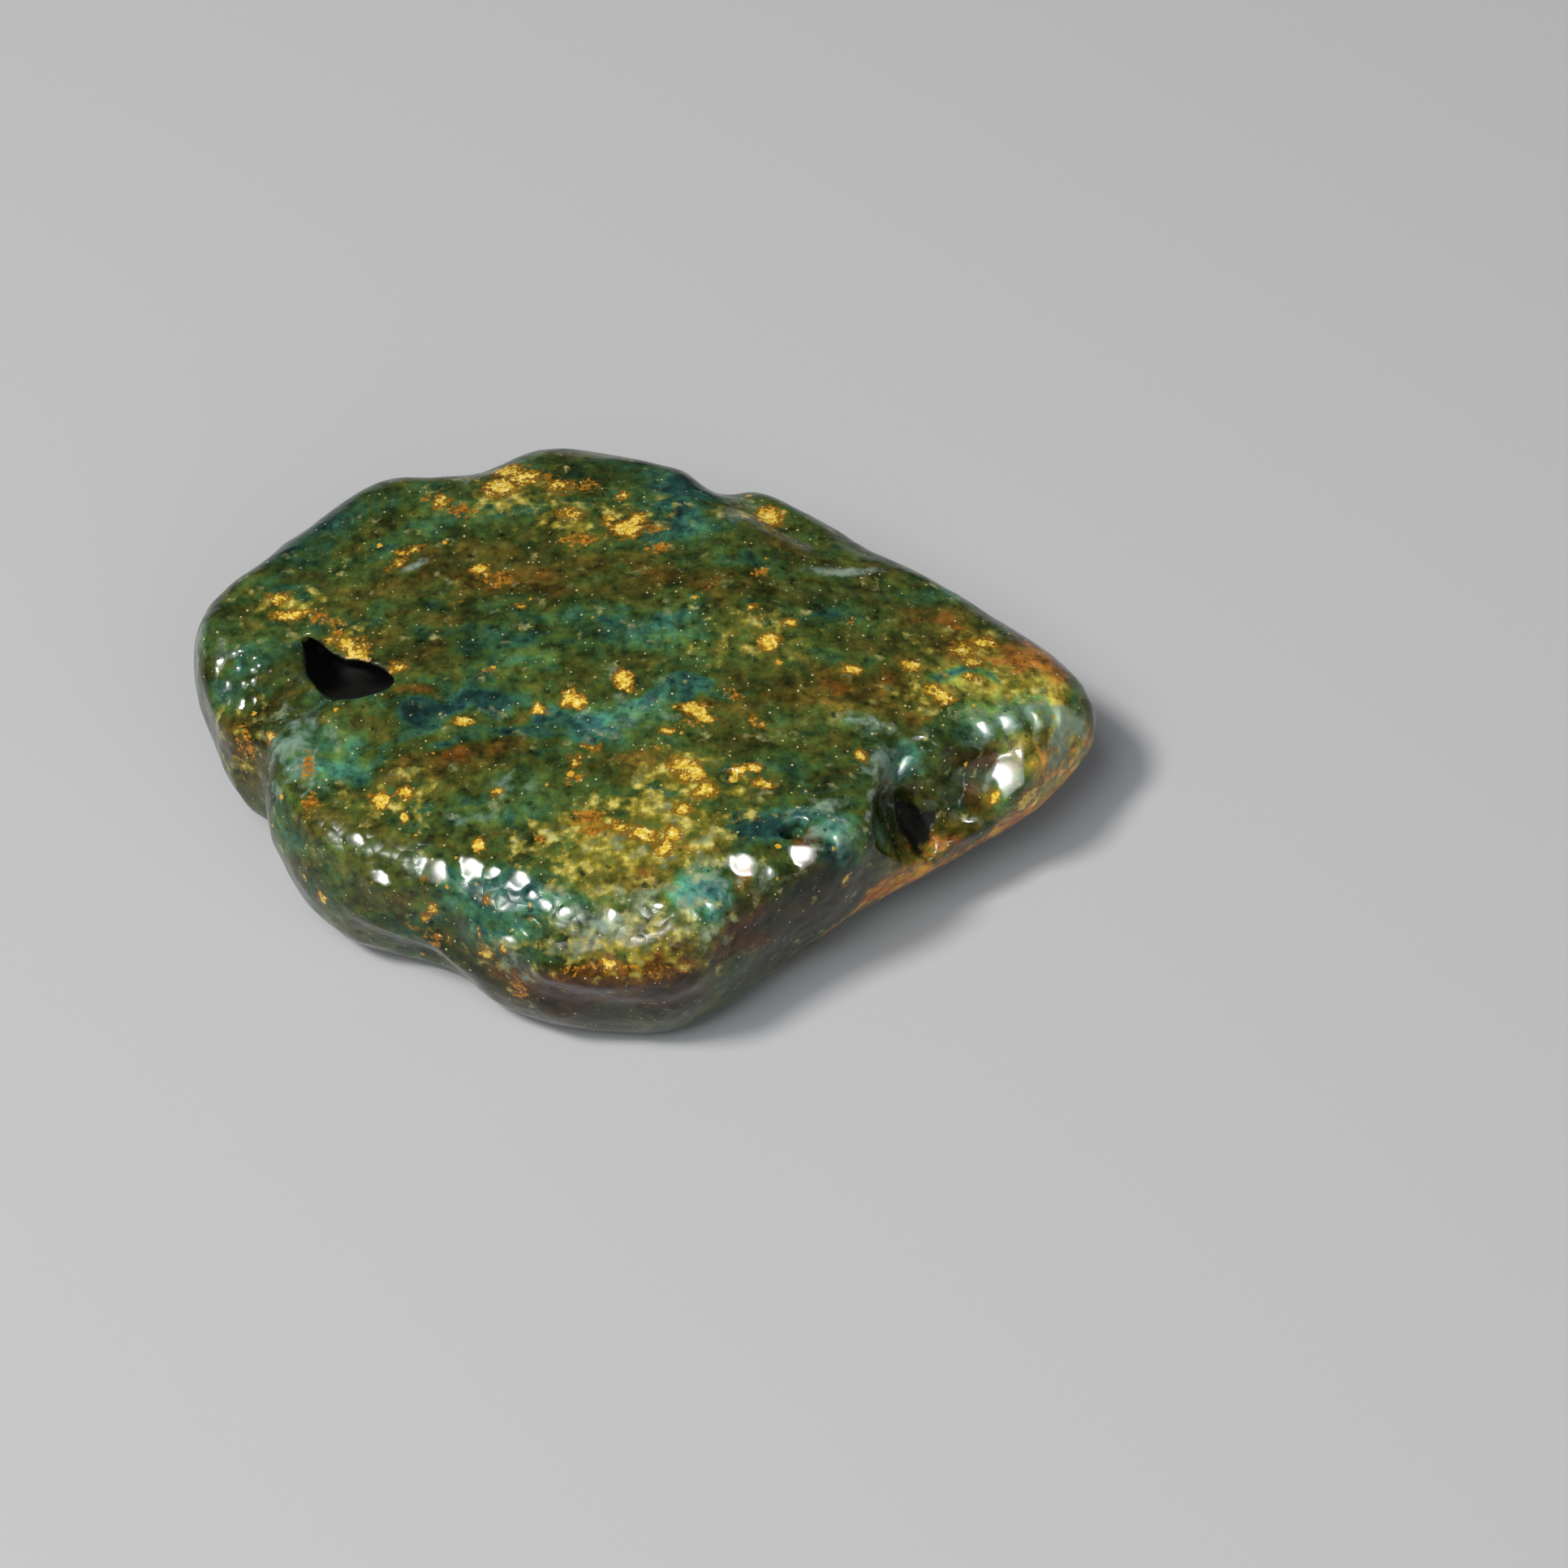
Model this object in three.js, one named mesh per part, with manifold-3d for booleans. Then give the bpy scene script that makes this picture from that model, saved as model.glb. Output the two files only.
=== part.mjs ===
// A tumbled slab of rough amber, lying on its flat underside.
//
// Millimetres, +Z up. The origin is on the surface the slab rests on, under the middle of its
// bounding box. +X runs along the slab to its blunt nose, and -Y is the lobed front.
//
// The slab grew, broke and was tumbled as one lump, so it is one solid. A sphere of even triangles
// is pressed into the slab, its skin is pushed in and out by the relief, and the holes and the
// shell-shaped chip are cut out of it.

import * as THREE from "three";
import { mergeVertices } from "three/addons/utils/BufferGeometryUtils.js";
import { ImprovedNoise } from "three/addons/math/ImprovedNoise.js";
import Module from "manifold-3d";

const wasm = await Module();
wasm.setup();
const noise = new ImprovedNoise();

// ---- Driving dimensions -------------------------------------------------------------------------

const CROWN = 14.3; // height of the middle of the top face
const SKIN_DETAIL = 18; // splits of the sphere's edges: 20 * (SKIN_DETAIL + 1)^2 triangles

// The girdle is the widest line round the slab. Each station is [bearing in degrees, reach].
const GIRDLE_REACH = [
  [3, 30.9],
  [12, 28.4],
  [21, 25.7],
  [31, 23.5],
  [42, 22.0],
  [56, 21.8],
  [68, 22.0],
  [76, 21.2],
  [84, 22.6],
  [97, 23.9],
  [110, 25.2],
  [120, 25.0],
  [130, 27.6],
  [142, 29.0],
  [154, 29.8],
  [164, 31.6],
  [171, 30.8],
  [179, 28.9],
  [186, 27.6],
  [191, 25.6],
  [199, 25.6],
  [208, 25.3],
  [217, 24.0],
  [226, 22.5],
  [234, 21.5],
  [243, 21.6],
  [255, 21.8],
  [267, 21.8],
  [277, 21.8],
  [286, 20.8],
  [297, 19.7],
  [310, 19.7],
  [322, 20.2],
  [332, 21.8],
  [341, 24.2],
  [351, 27.7],
];

// How high the girdle runs, and how high the edge of the top face is.
const GIRDLE_HEIGHT = [
  [0, 6.8],
  [60, 7.2],
  [120, 7.0],
  [165, 7.4],
  [195, 7.0],
  [212, 8.2],
  [226, 9.0],
  [245, 8.8],
  [275, 9.0],
  [300, 10.6],
  [318, 10.2],
  [340, 7.6],
];
const RIM_HEIGHT = [
  [0, 11.6],
  [30, 12.8],
  [75, 13.2],
  [125, 13.0],
  [165, 12.7],
  [200, 12.9],
  [235, 12.8],
  [275, 12.8],
  [305, 13.4],
  [325, 13.2],
];

// Brow: how far the rounded edge of the top face stands in from the girdle.
// Undercut: how far the flat underside stands in from it.
const BROW = [
  [2, 6.2],
  [30, 5.2],
  [70, 4.6],
  [120, 5.0],
  [150, 4.4],
  [166, 4.2],
  [176, 3.0],
  [187, 2.6],
  [198, 4.8],
  [208, 5.4],
  [217, 3.8],
  [227, 2.6],
  [238, 3.4],
  [256, 4.8],
  [275, 4.2],
  [290, 1.8],
  [318, 1.7],
  [340, 4.2],
];
const UNDERCUT = [
  [2, 13.0],
  [40, 9.0],
  [90, 8.0],
  [130, 9.0],
  [165, 12.0],
  [190, 7.0],
  [213, 5.6],
  [226, 6.2],
  [240, 5.2],
  [268, 4.2],
  [300, 4.4],
  [322, 6.0],
  [342, 11.0],
];

// How square the side is above and below the girdle: 2 is a round edge, and more is a flatter side.
const BROW_SQUARENESS = [
  [0, 2.1],
  [150, 2.2],
  [178, 2.8],
  [190, 2.6],
  [215, 2.2],
  [262, 1.9],
  [290, 3],
  [318, 3],
  [340, 2.2],
];
const UNDER_SQUARENESS = [
  [0, 2.0],
  [150, 2.0],
  [190, 2.3],
  [230, 2.6],
  [300, 2.4],
  [330, 2.0],
];

// Each share of the sphere's skin that goes to the top face, the brow, the side under the girdle
// and the flat underside. The plain underside gets the largest triangles.
const SKIN = { top: 0.3, brow: 0.3, under: 0.3, foot: 0.1 };

// ---- Relief: what tumbling and weather left on the skin -------------------------------------------

// Soft swells at three scales, as [wavelength, height].
const SWELLS = [
  [13, 0.5],
  [6, 0.3],
  [3.4, 0.12],
];

// Tumbling wears the crests and fills the creases: how many passes, and how strong each one is.
const WEAR_PASSES = 1;
const WEAR_SHARE = 0.3;

// Folds follow a line of [x, y, z] points on the skin. A valley has a height below 0.
const FOLDS = [
  {
    name: "cleft between the left end and the first lobe",
    width: 1.6,
    height: -1.15,
    line: [
      [-21.4, -1.8, 13.6],
      [-23.2, -2.2, 12.6],
      [-24.1, -3, 11],
      [-24.5, -4.6, 9],
      [-25, -5.4, 6],
      [-24.8, -5.6, 2],
    ],
  },
  {
    name: "crest beside the cleft",
    width: 1.6,
    height: 0.6,
    line: [
      [-18.4, -3, 13.6],
      [-20.6, -3.2, 13.2],
      [-22.2, -3.8, 12.4],
      [-23, -5.4, 11],
      [-23.2, -7.2, 9.6],
    ],
  },
  {
    name: "edge of the left end",
    width: 1.3,
    height: 0.7,
    line: [
      [-28.4, 6, 11.8],
      [-27.8, 3.9, 11.7],
      [-27.1, 2.1, 11.2],
      [-26.2, -0.6, 10.6],
      [-25.5, -1.6, 10],
    ],
  },
  {
    name: "edge of the first lobe",
    width: 1.2,
    height: 0.6,
    line: [[-21.9, -6.6, 12], [-22, -8.4, 11.4], [-20.9, -10.4, 11.6], [-19.6, -12.4, 11.4]],
  },
  {
    name: "crest that runs down into the notch",
    width: 1.2,
    height: 0.7,
    line: [[-17.4, -15.4, 7.8], [-15.2, -16.2, 7.2], [-13.2, -17.2, 6.8], [-11.6, -18.4, 6]],
  },
  {
    name: "front notch",
    width: 1.7,
    height: -0.8,
    line: [[-10.8, -15.4, 12], [-11.8, -17.4, 9.4]],
  },
  {
    name: "seam across the top",
    width: 1.3,
    height: -0.5,
    line: [[-16.6, -4.6, 13.4], [-12, -2.7, 13.8], [-7.7, -3.9, 13.9], [-4, -4.2, 14]],
  },
  {
    name: "seam to the nose",
    width: 1.2,
    height: -0.35,
    line: [[-1.4, -2.8, 14], [6, -1.6, 13.8], [12, -3.6, 13.4], [16, -5.2, 12.8]],
  },
  {
    name: "back furrow",
    width: 1.3,
    height: -0.7,
    line: [[4.8, 22, 9], [5.2, 19, 12.4], [7.2, 16, 13.2], [11, 13.4, 13.2]],
  },
  {
    name: "long furrow",
    width: 1.2,
    height: -0.35,
    line: [[10, 7.6, 13.6], [14, 8.8, 13.2], [19, 8.4, 12.8]],
  },
  {
    name: "crest above the chip, along the nose",
    width: 1.2,
    height: 0.5,
    line: [
      [19.4, -4.6, 12.9],
      [22.1, -3.8, 12.6],
      [24.1, -2.7, 12.4],
      [26.1, -1.8, 12],
      [28.1, -1.2, 11],
    ],
  },
  {
    name: "groove under that crest",
    width: 1.1,
    height: -0.5,
    line: [
      [25.6, -3.6, 11.6],
      [27.5, -2.9, 10.8],
      [29.2, -2, 9.4],
    ],
  },
  {
    name: "ledge of the second lobe",
    width: 1.2,
    height: 0.8,
    line: [[-5.6, -21.4, 9.2], [-2, -21.6, 9], [1.2, -22, 9], [4, -21.6, 9]],
  },
];

// Lumps and hollows are round: [x, y, z, radius, height], and a hollow has a height below 0.
const LUMPS = [
  [-25, 1.6, 12.4, 1.5, 0.4],
  [-24, -1, 12.4, 1.2, 0.3],
  [-16.6, -15.4, 12, 1.4, 0.4],
  [-12.4, -15.6, 12.4, 1.4, 0.35],
  [-9.6, -15.2, 12.6, 1.3, 0.3],
  [-6.6, -16.8, 12.4, 1.4, 0.35],
  [-3.6, -18.8, 12, 1.4, 0.35],
  [-20.2, -9.2, 12.8, 1.2, -0.55],
  [-14, -15.6, 3.4, 2.6, -1.1],
  [2.6, -17.6, 12.6, 1.4, 0.3],
  [7, -14.8, 12.8, 1.4, 0.35],
  [11, -13.4, 12.8, 1.3, 0.35],
  [13.6, -10.6, 12.6, 1.8, 0.5],
  [25.4, -5, 10.6, 2.2, 0.7],
  [-14.6, -9.8, 13.2, 2.6, -0.3],
  [9.6, -8.6, 13.4, 1.8, -0.4],
  [-8.4, -20, 8, 2, -0.45],
  [7, 8, 14, 5, 0.25],
  [-10, 16, 13.4, 3, 0.3],
  [20, 14, 7, 3, -0.5],
  [-4, 25, 8, 3, 0.4],
  [-24, 17, 8, 3, -0.4],
];

// Flats that rubbing wore on the skin: a point of the flat, the way it faces, and its radius.
const FLATS = [
  {
    name: "slope of the left end",
    centre: [-25.4, 1.2, 12.1],
    facing: [-0.36, -0.42, 0.83],
    radius: 3.4,
  },
];

// ---- Holes and the chip ---------------------------------------------------------------------------

// The open hole on the left of the top face: its mouth as [x, y] points, and how deep it goes.
const HOLE_MOUTH = [
  [-22.9, 2.4],
  [-21.6, 1.7],
  [-19.7, 0.1],
  [-18.1, -0.1],
  [-16.5, -1.4],
  [-17, -2.3],
  [-19, -2.9],
  [-20.8, -2.5],
  [-21.7, -1],
  [-22, 0.9],
];
const HOLE_DEPTH = 6;
const HOLE_TOP = 15; // the tool that cuts it starts above the skin
const HOLE_LEAN = 0.85; // how far its floor drifts to +Y for each millimetre down
const HOLE_STEPS = 4;

// Each hollow is cut with an egg-shaped tool: centre, half sizes, and turn about Z in degrees.
const HOLLOWS = [
  {
    name: "chip scoop",
    centre: [20, -9.8, 12.8],
    half: [4.5, 4.8, 6.4],
    turn: 20,
    rough: 0.3,
    detail: 6,
  },
  {
    name: "chip right wall",
    centre: [22.5, -8.3, 13.2],
    half: [4.5, 4.5, 4.5],
    turn: 0,
    rough: 0.1,
    detail: 6,
  },
  {
    name: "chip hole",
    centre: [18.4, -8.6, 8.4],
    half: [0.9, 2.9, 2.1],
    turn: 30,
    rough: 0.25,
    detail: 4,
  },
  {
    name: "rim hole",
    centre: [10.2, -13.2, 12.9],
    half: [1.2, 0.7, 1.4],
    turn: 12,
    rough: 0.15,
    detail: 3,
  },
  {
    name: "slit",
    centre: [5.9, -8.8, 13.9],
    half: [1, 0.45, 1.3],
    turn: -8,
    rough: 0.1,
    detail: 3,
  },
  {
    name: "side hole",
    centre: [-6.4, -19, 11.4],
    half: [1, 0.9, 0.5],
    turn: 10,
    rough: 0.1,
    detail: 3,
  },
];

// ---- Smooth values round the slab ------------------------------------------------------------------

// Reads a list of [bearing, value] stations at any bearing, with a curve that passes through each.
function around(stations, bearing) {
  const count = stations.length;
  const at = (bearing + 720 - stations[0][0]) % 360;
  const station = (i) => {
    const [place, value] = stations[((i % count) + count) % count];
    return [place - stations[0][0] + 360 * Math.floor(i / count), value];
  };
  let i = 0;
  while (i < count - 1 && station(i + 1)[0] <= at) i += 1;
  const [before, here, next, after] = [station(i - 1), station(i), station(i + 1), station(i + 2)];
  const slope = (a, b) => (b[1] - a[1]) / (b[0] - a[0]);
  const span = next[0] - here[0];
  const t = (at - here[0]) / span;
  const start = slope(before, next) * span;
  const end = slope(here, after) * span;
  return (
    here[1] * (1 + 2 * t) * (1 - t) ** 2 +
    start * t * (1 - t) ** 2 +
    next[1] * t * t * (3 - 2 * t) +
    end * t * t * (t - 1)
  );
}

// ---- The slab ---------------------------------------------------------------------------------------

// Where a point of the unit sphere goes on the slab. Height on a sphere shares out its area evenly.
function pressed(direction) {
  const bearing = THREE.MathUtils.radToDeg(Math.atan2(direction.y, direction.x));
  const share = (1 - direction.z) / 2;
  const reach = around(GIRDLE_REACH, bearing);
  const girdle = around(GIRDLE_HEIGHT, bearing);
  const rim = around(RIM_HEIGHT, bearing);
  const brow = around(BROW, bearing);
  const undercut = around(UNDERCUT, bearing);
  const browCurve = 2 / around(BROW_SQUARENESS, bearing);
  const underCurve = 2 / around(UNDER_SQUARENESS, bearing);
  const underStart = SKIN.top + SKIN.brow;
  const footStart = underStart + SKIN.under;
  let radius;
  let height;
  if (share < SKIN.top) {
    const out = Math.sqrt(share / SKIN.top);
    radius = (reach - brow) * out;
    height = CROWN - (CROWN - rim) * out * out * out;
  } else if (share < underStart) {
    const turn = ((share - SKIN.top) / SKIN.brow) * (Math.PI / 2);
    radius = reach - brow + brow * Math.sin(turn) ** browCurve;
    height = girdle + (rim - girdle) * Math.cos(turn) ** browCurve;
  } else if (share < footStart) {
    const turn = ((share - underStart) / SKIN.under) * (Math.PI / 2);
    radius = reach - undercut + undercut * Math.cos(turn) ** underCurve;
    height = girdle * (1 - Math.sin(turn) ** underCurve);
  } else {
    radius = (reach - undercut) * Math.sqrt((1 - share) / SKIN.foot);
    height = 0;
  }
  const angle = THREE.MathUtils.degToRad(bearing);
  return new THREE.Vector3(radius * Math.cos(angle), radius * Math.sin(angle), height);
}

function swell(point) {
  let height = 0;
  for (const [wavelength, amount] of SWELLS) {
    const { x, y, z } = point.clone().divideScalar(wavelength);
    height += amount * noise.noise(x + 7.3, y, z + 2.1);
  }
  return height;
}

function distanceToLine(point, line) {
  let nearest = Infinity;
  for (let i = 0; i + 1 < line.length; i += 1) {
    const piece = new THREE.Line3(new THREE.Vector3(...line[i]), new THREE.Vector3(...line[i + 1]));
    const foot = piece.closestPointToPoint(point, true, new THREE.Vector3());
    nearest = Math.min(nearest, foot.distanceTo(point));
  }
  return nearest;
}

// How far the skin stands out at a point. It fades to nothing at the flat underside.
function relief(point) {
  let height = swell(point);
  for (const fold of FOLDS) {
    height += fold.height * Math.exp(-((distanceToLine(point, fold.line) / fold.width) ** 2));
  }
  for (const [x, y, z, radius, amount] of LUMPS) {
    const away = point.distanceTo(new THREE.Vector3(x, y, z)) / radius;
    height += amount * Math.exp(-away * away);
  }
  return height * THREE.MathUtils.smoothstep(point.z, 0, 3);
}

// A sphere of even triangles with shared vertices.
function evenSphere(detail) {
  const sphere = new THREE.IcosahedronGeometry(1, detail);
  sphere.deleteAttribute("normal");
  sphere.deleteAttribute("uv");
  return mergeVertices(sphere, 1e-5);
}

// Moves every vertex of a geometry to where place(vertex, index) says.
function moveVertices(geometry, place) {
  const position = geometry.getAttribute("position");
  const vertex = new THREE.Vector3();
  for (let i = 0; i < position.count; i += 1) {
    vertex.fromBufferAttribute(position, i);
    const moved = place(vertex, i);
    position.setXYZ(i, moved.x, moved.y, moved.z);
  }
  return geometry;
}

// One pass of tumbling: each vertex moves part of the way to the middle of its neighbours.
function wear(geometry) {
  const position = geometry.getAttribute("position").clone();
  const sums = Array.from({ length: position.count }, () => new THREE.Vector3());
  const counts = new Array(position.count).fill(0);
  const neighbour = new THREE.Vector3();
  for (let i = 0; i < geometry.index.count; i += 1) {
    const here = geometry.index.getX(i);
    const next = geometry.index.getX(i - (i % 3) + ((i + 1) % 3));
    sums[here].add(neighbour.fromBufferAttribute(position, next));
    counts[here] += 1;
  }
  return moveVertices(geometry, (vertex, i) => {
    return vertex.clone().lerp(sums[i].divideScalar(counts[i]), WEAR_SHARE);
  });
}

// Rubs a point that stands above a flat down to it, fully in the middle and less at its edge.
function rubbed(point) {
  const flat = point.clone();
  for (const { centre, facing, radius } of FLATS) {
    const normal = new THREE.Vector3(...facing).normalize();
    const away = flat.clone().sub(new THREE.Vector3(...centre));
    const above = Math.max(away.dot(normal), 0);
    const distance = away.addScaledVector(normal, -above).length() / radius;
    const share = 1 - THREE.MathUtils.smoothstep(distance, 0.8, 1.5);
    flat.addScaledVector(normal, -above * share);
  }
  return flat;
}

function slabGeometry() {
  const slab = moveVertices(evenSphere(SKIN_DETAIL), pressed);
  slab.computeVertexNormals();
  const normals = slab.getAttribute("normal").clone();
  slab.deleteAttribute("normal");
  moveVertices(slab, (vertex, i) => {
    const normal = new THREE.Vector3().fromBufferAttribute(normals, i);
    const moved = vertex.clone().addScaledVector(normal, relief(vertex));
    moved.z = Math.max(moved.z, 0);
    return rubbed(moved);
  });
  for (let pass = 0; pass < WEAR_PASSES; pass += 1) wear(slab);
  return slab;
}

// ---- The cutting shapes ------------------------------------------------------------------------------

// An egg with a lightly uneven skin, as the inside of a hollow has.
function eggGeometry({ centre, half, turn, rough, detail }) {
  const egg = moveVertices(evenSphere(detail), (direction) => {
    const uneven = noise.noise(direction.x * 1.7 + centre[0], direction.y * 1.7, direction.z * 1.7);
    return direction
      .clone()
      .multiplyScalar(1 + rough * uneven)
      .multiply(new THREE.Vector3(...half));
  });
  egg.rotateZ(THREE.MathUtils.degToRad(turn));
  egg.translate(...centre);
  return egg;
}

// The hole's inside: the outline of its mouth, closing in to a smaller floor below.
function holeGeometry() {
  const outline = new THREE.SplineCurve(
    [...HOLE_MOUTH, HOLE_MOUTH[0]].map(([x, y]) => new THREE.Vector2(x, y)),
  );
  const rim = outline.getPoints(3 * HOLE_MOUTH.length).slice(0, -1);
  const depth = HOLE_DEPTH + HOLE_TOP - CROWN;
  const hole = new THREE.ExtrudeGeometry(new THREE.Shape(rim), {
    depth,
    steps: HOLE_STEPS,
    bevelEnabled: false,
  });
  hole.deleteAttribute("normal");
  hole.deleteAttribute("uv");
  const share = 1 / rim.length;
  const middle = rim.reduce((sum, point) => sum.addScaledVector(point, share), new THREE.Vector2());
  return moveVertices(mergeVertices(hole, 1e-5), (vertex) => {
    const down = depth - vertex.z;
    const closing = 1 + 0.2 * Math.sin((Math.PI * down) / depth) - 0.45 * (down / depth) ** 4;
    const uneven = 0.3 * noise.noise(vertex.x * 0.9, vertex.y * 0.9, vertex.z * 0.9 + 5);
    return new THREE.Vector3(
      middle.x + (vertex.x - middle.x) * closing + uneven,
      middle.y + (vertex.y - middle.y) * closing + HOLE_LEAN * down,
      HOLE_TOP - down,
    );
  });
}

// ---- Joining and cutting -------------------------------------------------------------------------------

function solidOf(geometry) {
  return new wasm.Manifold(
    new wasm.Mesh({
      numProp: 3,
      vertProperties: geometry.getAttribute("position").array,
      triVerts: new Uint32Array(geometry.index.array),
    }),
  );
}

function geometryOf(solid) {
  const mesh = solid.getMesh();
  const geometry = new THREE.BufferGeometry();
  geometry.setAttribute("position", new THREE.BufferAttribute(mesh.vertProperties, 3));
  geometry.setIndex(new THREE.BufferAttribute(mesh.triVerts, 1));
  geometry.computeVertexNormals();
  return geometry;
}

// Shifts a geometry so that its bounding box is centred over the origin.
function centred(geometry) {
  geometry.computeBoundingBox();
  const middle = geometry.boundingBox.getCenter(new THREE.Vector3());
  return geometry.translate(-middle.x, -middle.y, 0);
}

function amberLump() {
  let lump = solidOf(slabGeometry());
  lump = lump.subtract(solidOf(holeGeometry()));
  for (const hollow of HOLLOWS) {
    lump = lump.subtract(solidOf(eggGeometry(hollow)));
  }
  const amber = new THREE.Mesh(
    centred(geometryOf(lump)),
    new THREE.MeshStandardMaterial({ color: 0x3f5a2c, roughness: 0.12, metalness: 0 }),
  );
  amber.name = "amber_lump";
  return amber;
}

const amber = new THREE.Group();
amber.add(amberLump());

export default amber;
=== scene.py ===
# %% [markdown]
# # A tumbled slab of rough amber
#
# Amber is fossil tree resin. This piece is a thick flat slab that was broken from a larger lump and
# then tumbled until it shone. It is dark green and olive where the light falls on it, honey and brown
# where it is thin, and it is full of flecks, dust and small gas holes.
#
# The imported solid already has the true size, the lobed outline, the deep hole and the chip. The looks
# are built around it: first the camera and lights, then the fine skin, then the stone-like pattern.

import math

import bpy
import numpy as np
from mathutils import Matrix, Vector, noise


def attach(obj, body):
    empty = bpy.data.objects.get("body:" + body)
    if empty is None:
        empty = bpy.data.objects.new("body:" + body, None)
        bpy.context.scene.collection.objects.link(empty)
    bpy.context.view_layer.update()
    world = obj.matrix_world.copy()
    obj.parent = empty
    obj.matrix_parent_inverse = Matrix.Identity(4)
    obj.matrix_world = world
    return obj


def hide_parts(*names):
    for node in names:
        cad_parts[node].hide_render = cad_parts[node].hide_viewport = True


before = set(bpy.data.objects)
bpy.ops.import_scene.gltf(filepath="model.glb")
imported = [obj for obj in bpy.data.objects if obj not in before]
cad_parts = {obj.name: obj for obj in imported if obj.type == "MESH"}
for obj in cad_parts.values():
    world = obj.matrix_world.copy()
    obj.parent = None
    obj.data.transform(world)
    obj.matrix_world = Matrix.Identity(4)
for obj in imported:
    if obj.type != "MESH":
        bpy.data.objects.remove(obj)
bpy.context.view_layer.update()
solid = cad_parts["amber_lump"]
MM = 0.001

# %% [markdown]
# ## Camera, floor and lights
#
# The slab is seen from the front and well above, from close by with a long lens, so that its top face
# and its lobed front both show. The floor is a plain pale sheet.
#
# A polished thing is drawn by its reflections. One fairly small soft light, the key, hangs high on the
# left. It puts short bright spots along the rounded front edge, and leaves the front right side in
# shade. A wider and weaker disk near it, the halo, gives the edges a pale sheen. A large soft light
# in front and a faint bluish world fill the rest.

# %% Camera
ELEVATION = math.radians(50)
DISTANCE = 289 * MM
LOOK_AT = Vector((9.55, -5.57, 8.0)) * MM
forward = Vector((0, math.cos(ELEVATION), -math.sin(ELEVATION)))  # the way that the camera looks
bpy.ops.object.camera_add(location=LOOK_AT - forward * DISTANCE)
camera = bpy.context.object
camera.rotation_euler = (math.pi / 2 - ELEVATION, 0, 0)
camera.data.lens = 100
camera.data.sensor_width = 36
bpy.context.scene.camera = camera
print("camera at", [round(c, 4) for c in camera.location])

# %% Floor
FLOOR_SIDE = 4  # metres, so that its edge is never in the picture
bpy.ops.object.select_all(action="DESELECT")
bpy.ops.mesh.primitive_plane_add(size=FLOOR_SIDE)
floor = bpy.context.object
floor.name = "floor"
floor_material = bpy.data.materials.new("pale_floor")
floor_material.use_nodes = True
floor_shader = floor_material.node_tree.nodes["Principled BSDF"]
floor_shader.inputs["Base Color"].default_value = (0.38, 0.38, 0.39, 1)
floor_shader.inputs["Roughness"].default_value = 0.85
floor.data.materials.append(floor_material)
print("floor of", FLOOR_SIDE, "by", FLOOR_SIDE, "metres")


# %% Lights
def softbox(name, towards, distance, size, power, colour=(1, 1, 1)):
    """A round soft light in a direction from the slab, facing it. Distance and size in metres."""
    direction = Vector(towards).normalized()
    bpy.ops.object.light_add(type="AREA", location=direction * distance)
    light = bpy.context.object
    light.name = name
    light.rotation_euler = direction.to_track_quat("Z", "Y").to_euler()
    light.data.shape = "DISK"
    light.data.size = size
    light.data.energy = power
    light.data.color = colour
    return light


KEY = Vector((-0.45, -0.25, 0.86)).normalized()
HALO = (-0.30, -0.42, 0.85)
FILL = (0.45, -0.9, 0.8)
WARM_WHITE = (1.0, 0.97, 0.93)
COOL_WHITE = (0.94, 0.98, 1.0)
softbox("key", KEY, distance=0.9, size=0.17, power=6.6, colour=WARM_WHITE)
softbox("halo", HALO, distance=1.0, size=0.60, power=6.0, colour=COOL_WHITE)
softbox("fill", FILL, distance=1.2, size=1.2, power=4)
world = bpy.data.worlds.new("studio")
bpy.context.scene.world = world
world.use_nodes = True
backdrop = world.node_tree.nodes["Background"]
backdrop.inputs["Color"].default_value = (0.80, 0.84, 0.90, 1)
backdrop.inputs["Strength"].default_value = 0.09
bpy.context.scene.view_settings.view_transform = "Standard"

# %% [markdown]
# ## The skin of the slab
#
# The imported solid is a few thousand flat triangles, fit for weighing and for collision but too coarse
# to shine. A copy is merged into one closed skin, the small gas holes are cut into it, and a voxel
# remesh lays an even net of small faces over everything. That net can carry fine bumps, and it rounds
# each broken edge a little, as tumbling does. The solid itself is never changed.

# %% Copy the solid
MERGE = 0.001  # corners closer than this, in millimetres, are the same corner
bpy.ops.object.select_all(action="DESELECT")
lump = solid.copy()
lump.data = solid.data.copy()
lump.name = "polished_lump"
bpy.context.collection.objects.link(lump)
lump.parent = None
lump.matrix_world.identity()
lump.data.materials.clear()
lump.select_set(True)
bpy.context.view_layer.objects.active = lump
bpy.ops.object.mode_set(mode="EDIT")
bpy.ops.mesh.select_all(action="SELECT")
bpy.ops.mesh.remove_doubles(threshold=MERGE * MM)
bpy.ops.object.mode_set(mode="OBJECT")
print("merged skin:", len(lump.data.vertices), "vertices,", len(lump.data.polygons), "faces")


# %% Modifier helper
def finish_modifier(piece, kind, **settings):
    """Adds a modifier to the piece, sets it up and applies it."""
    bpy.ops.object.select_all(action="DESELECT")
    piece.select_set(True)
    bpy.context.view_layer.objects.active = piece
    modifier = piece.modifiers.new(kind.lower(), kind)
    for key, value in settings.items():
        setattr(modifier, key, value)
    bpy.ops.object.modifier_apply(modifier=modifier.name)


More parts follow.
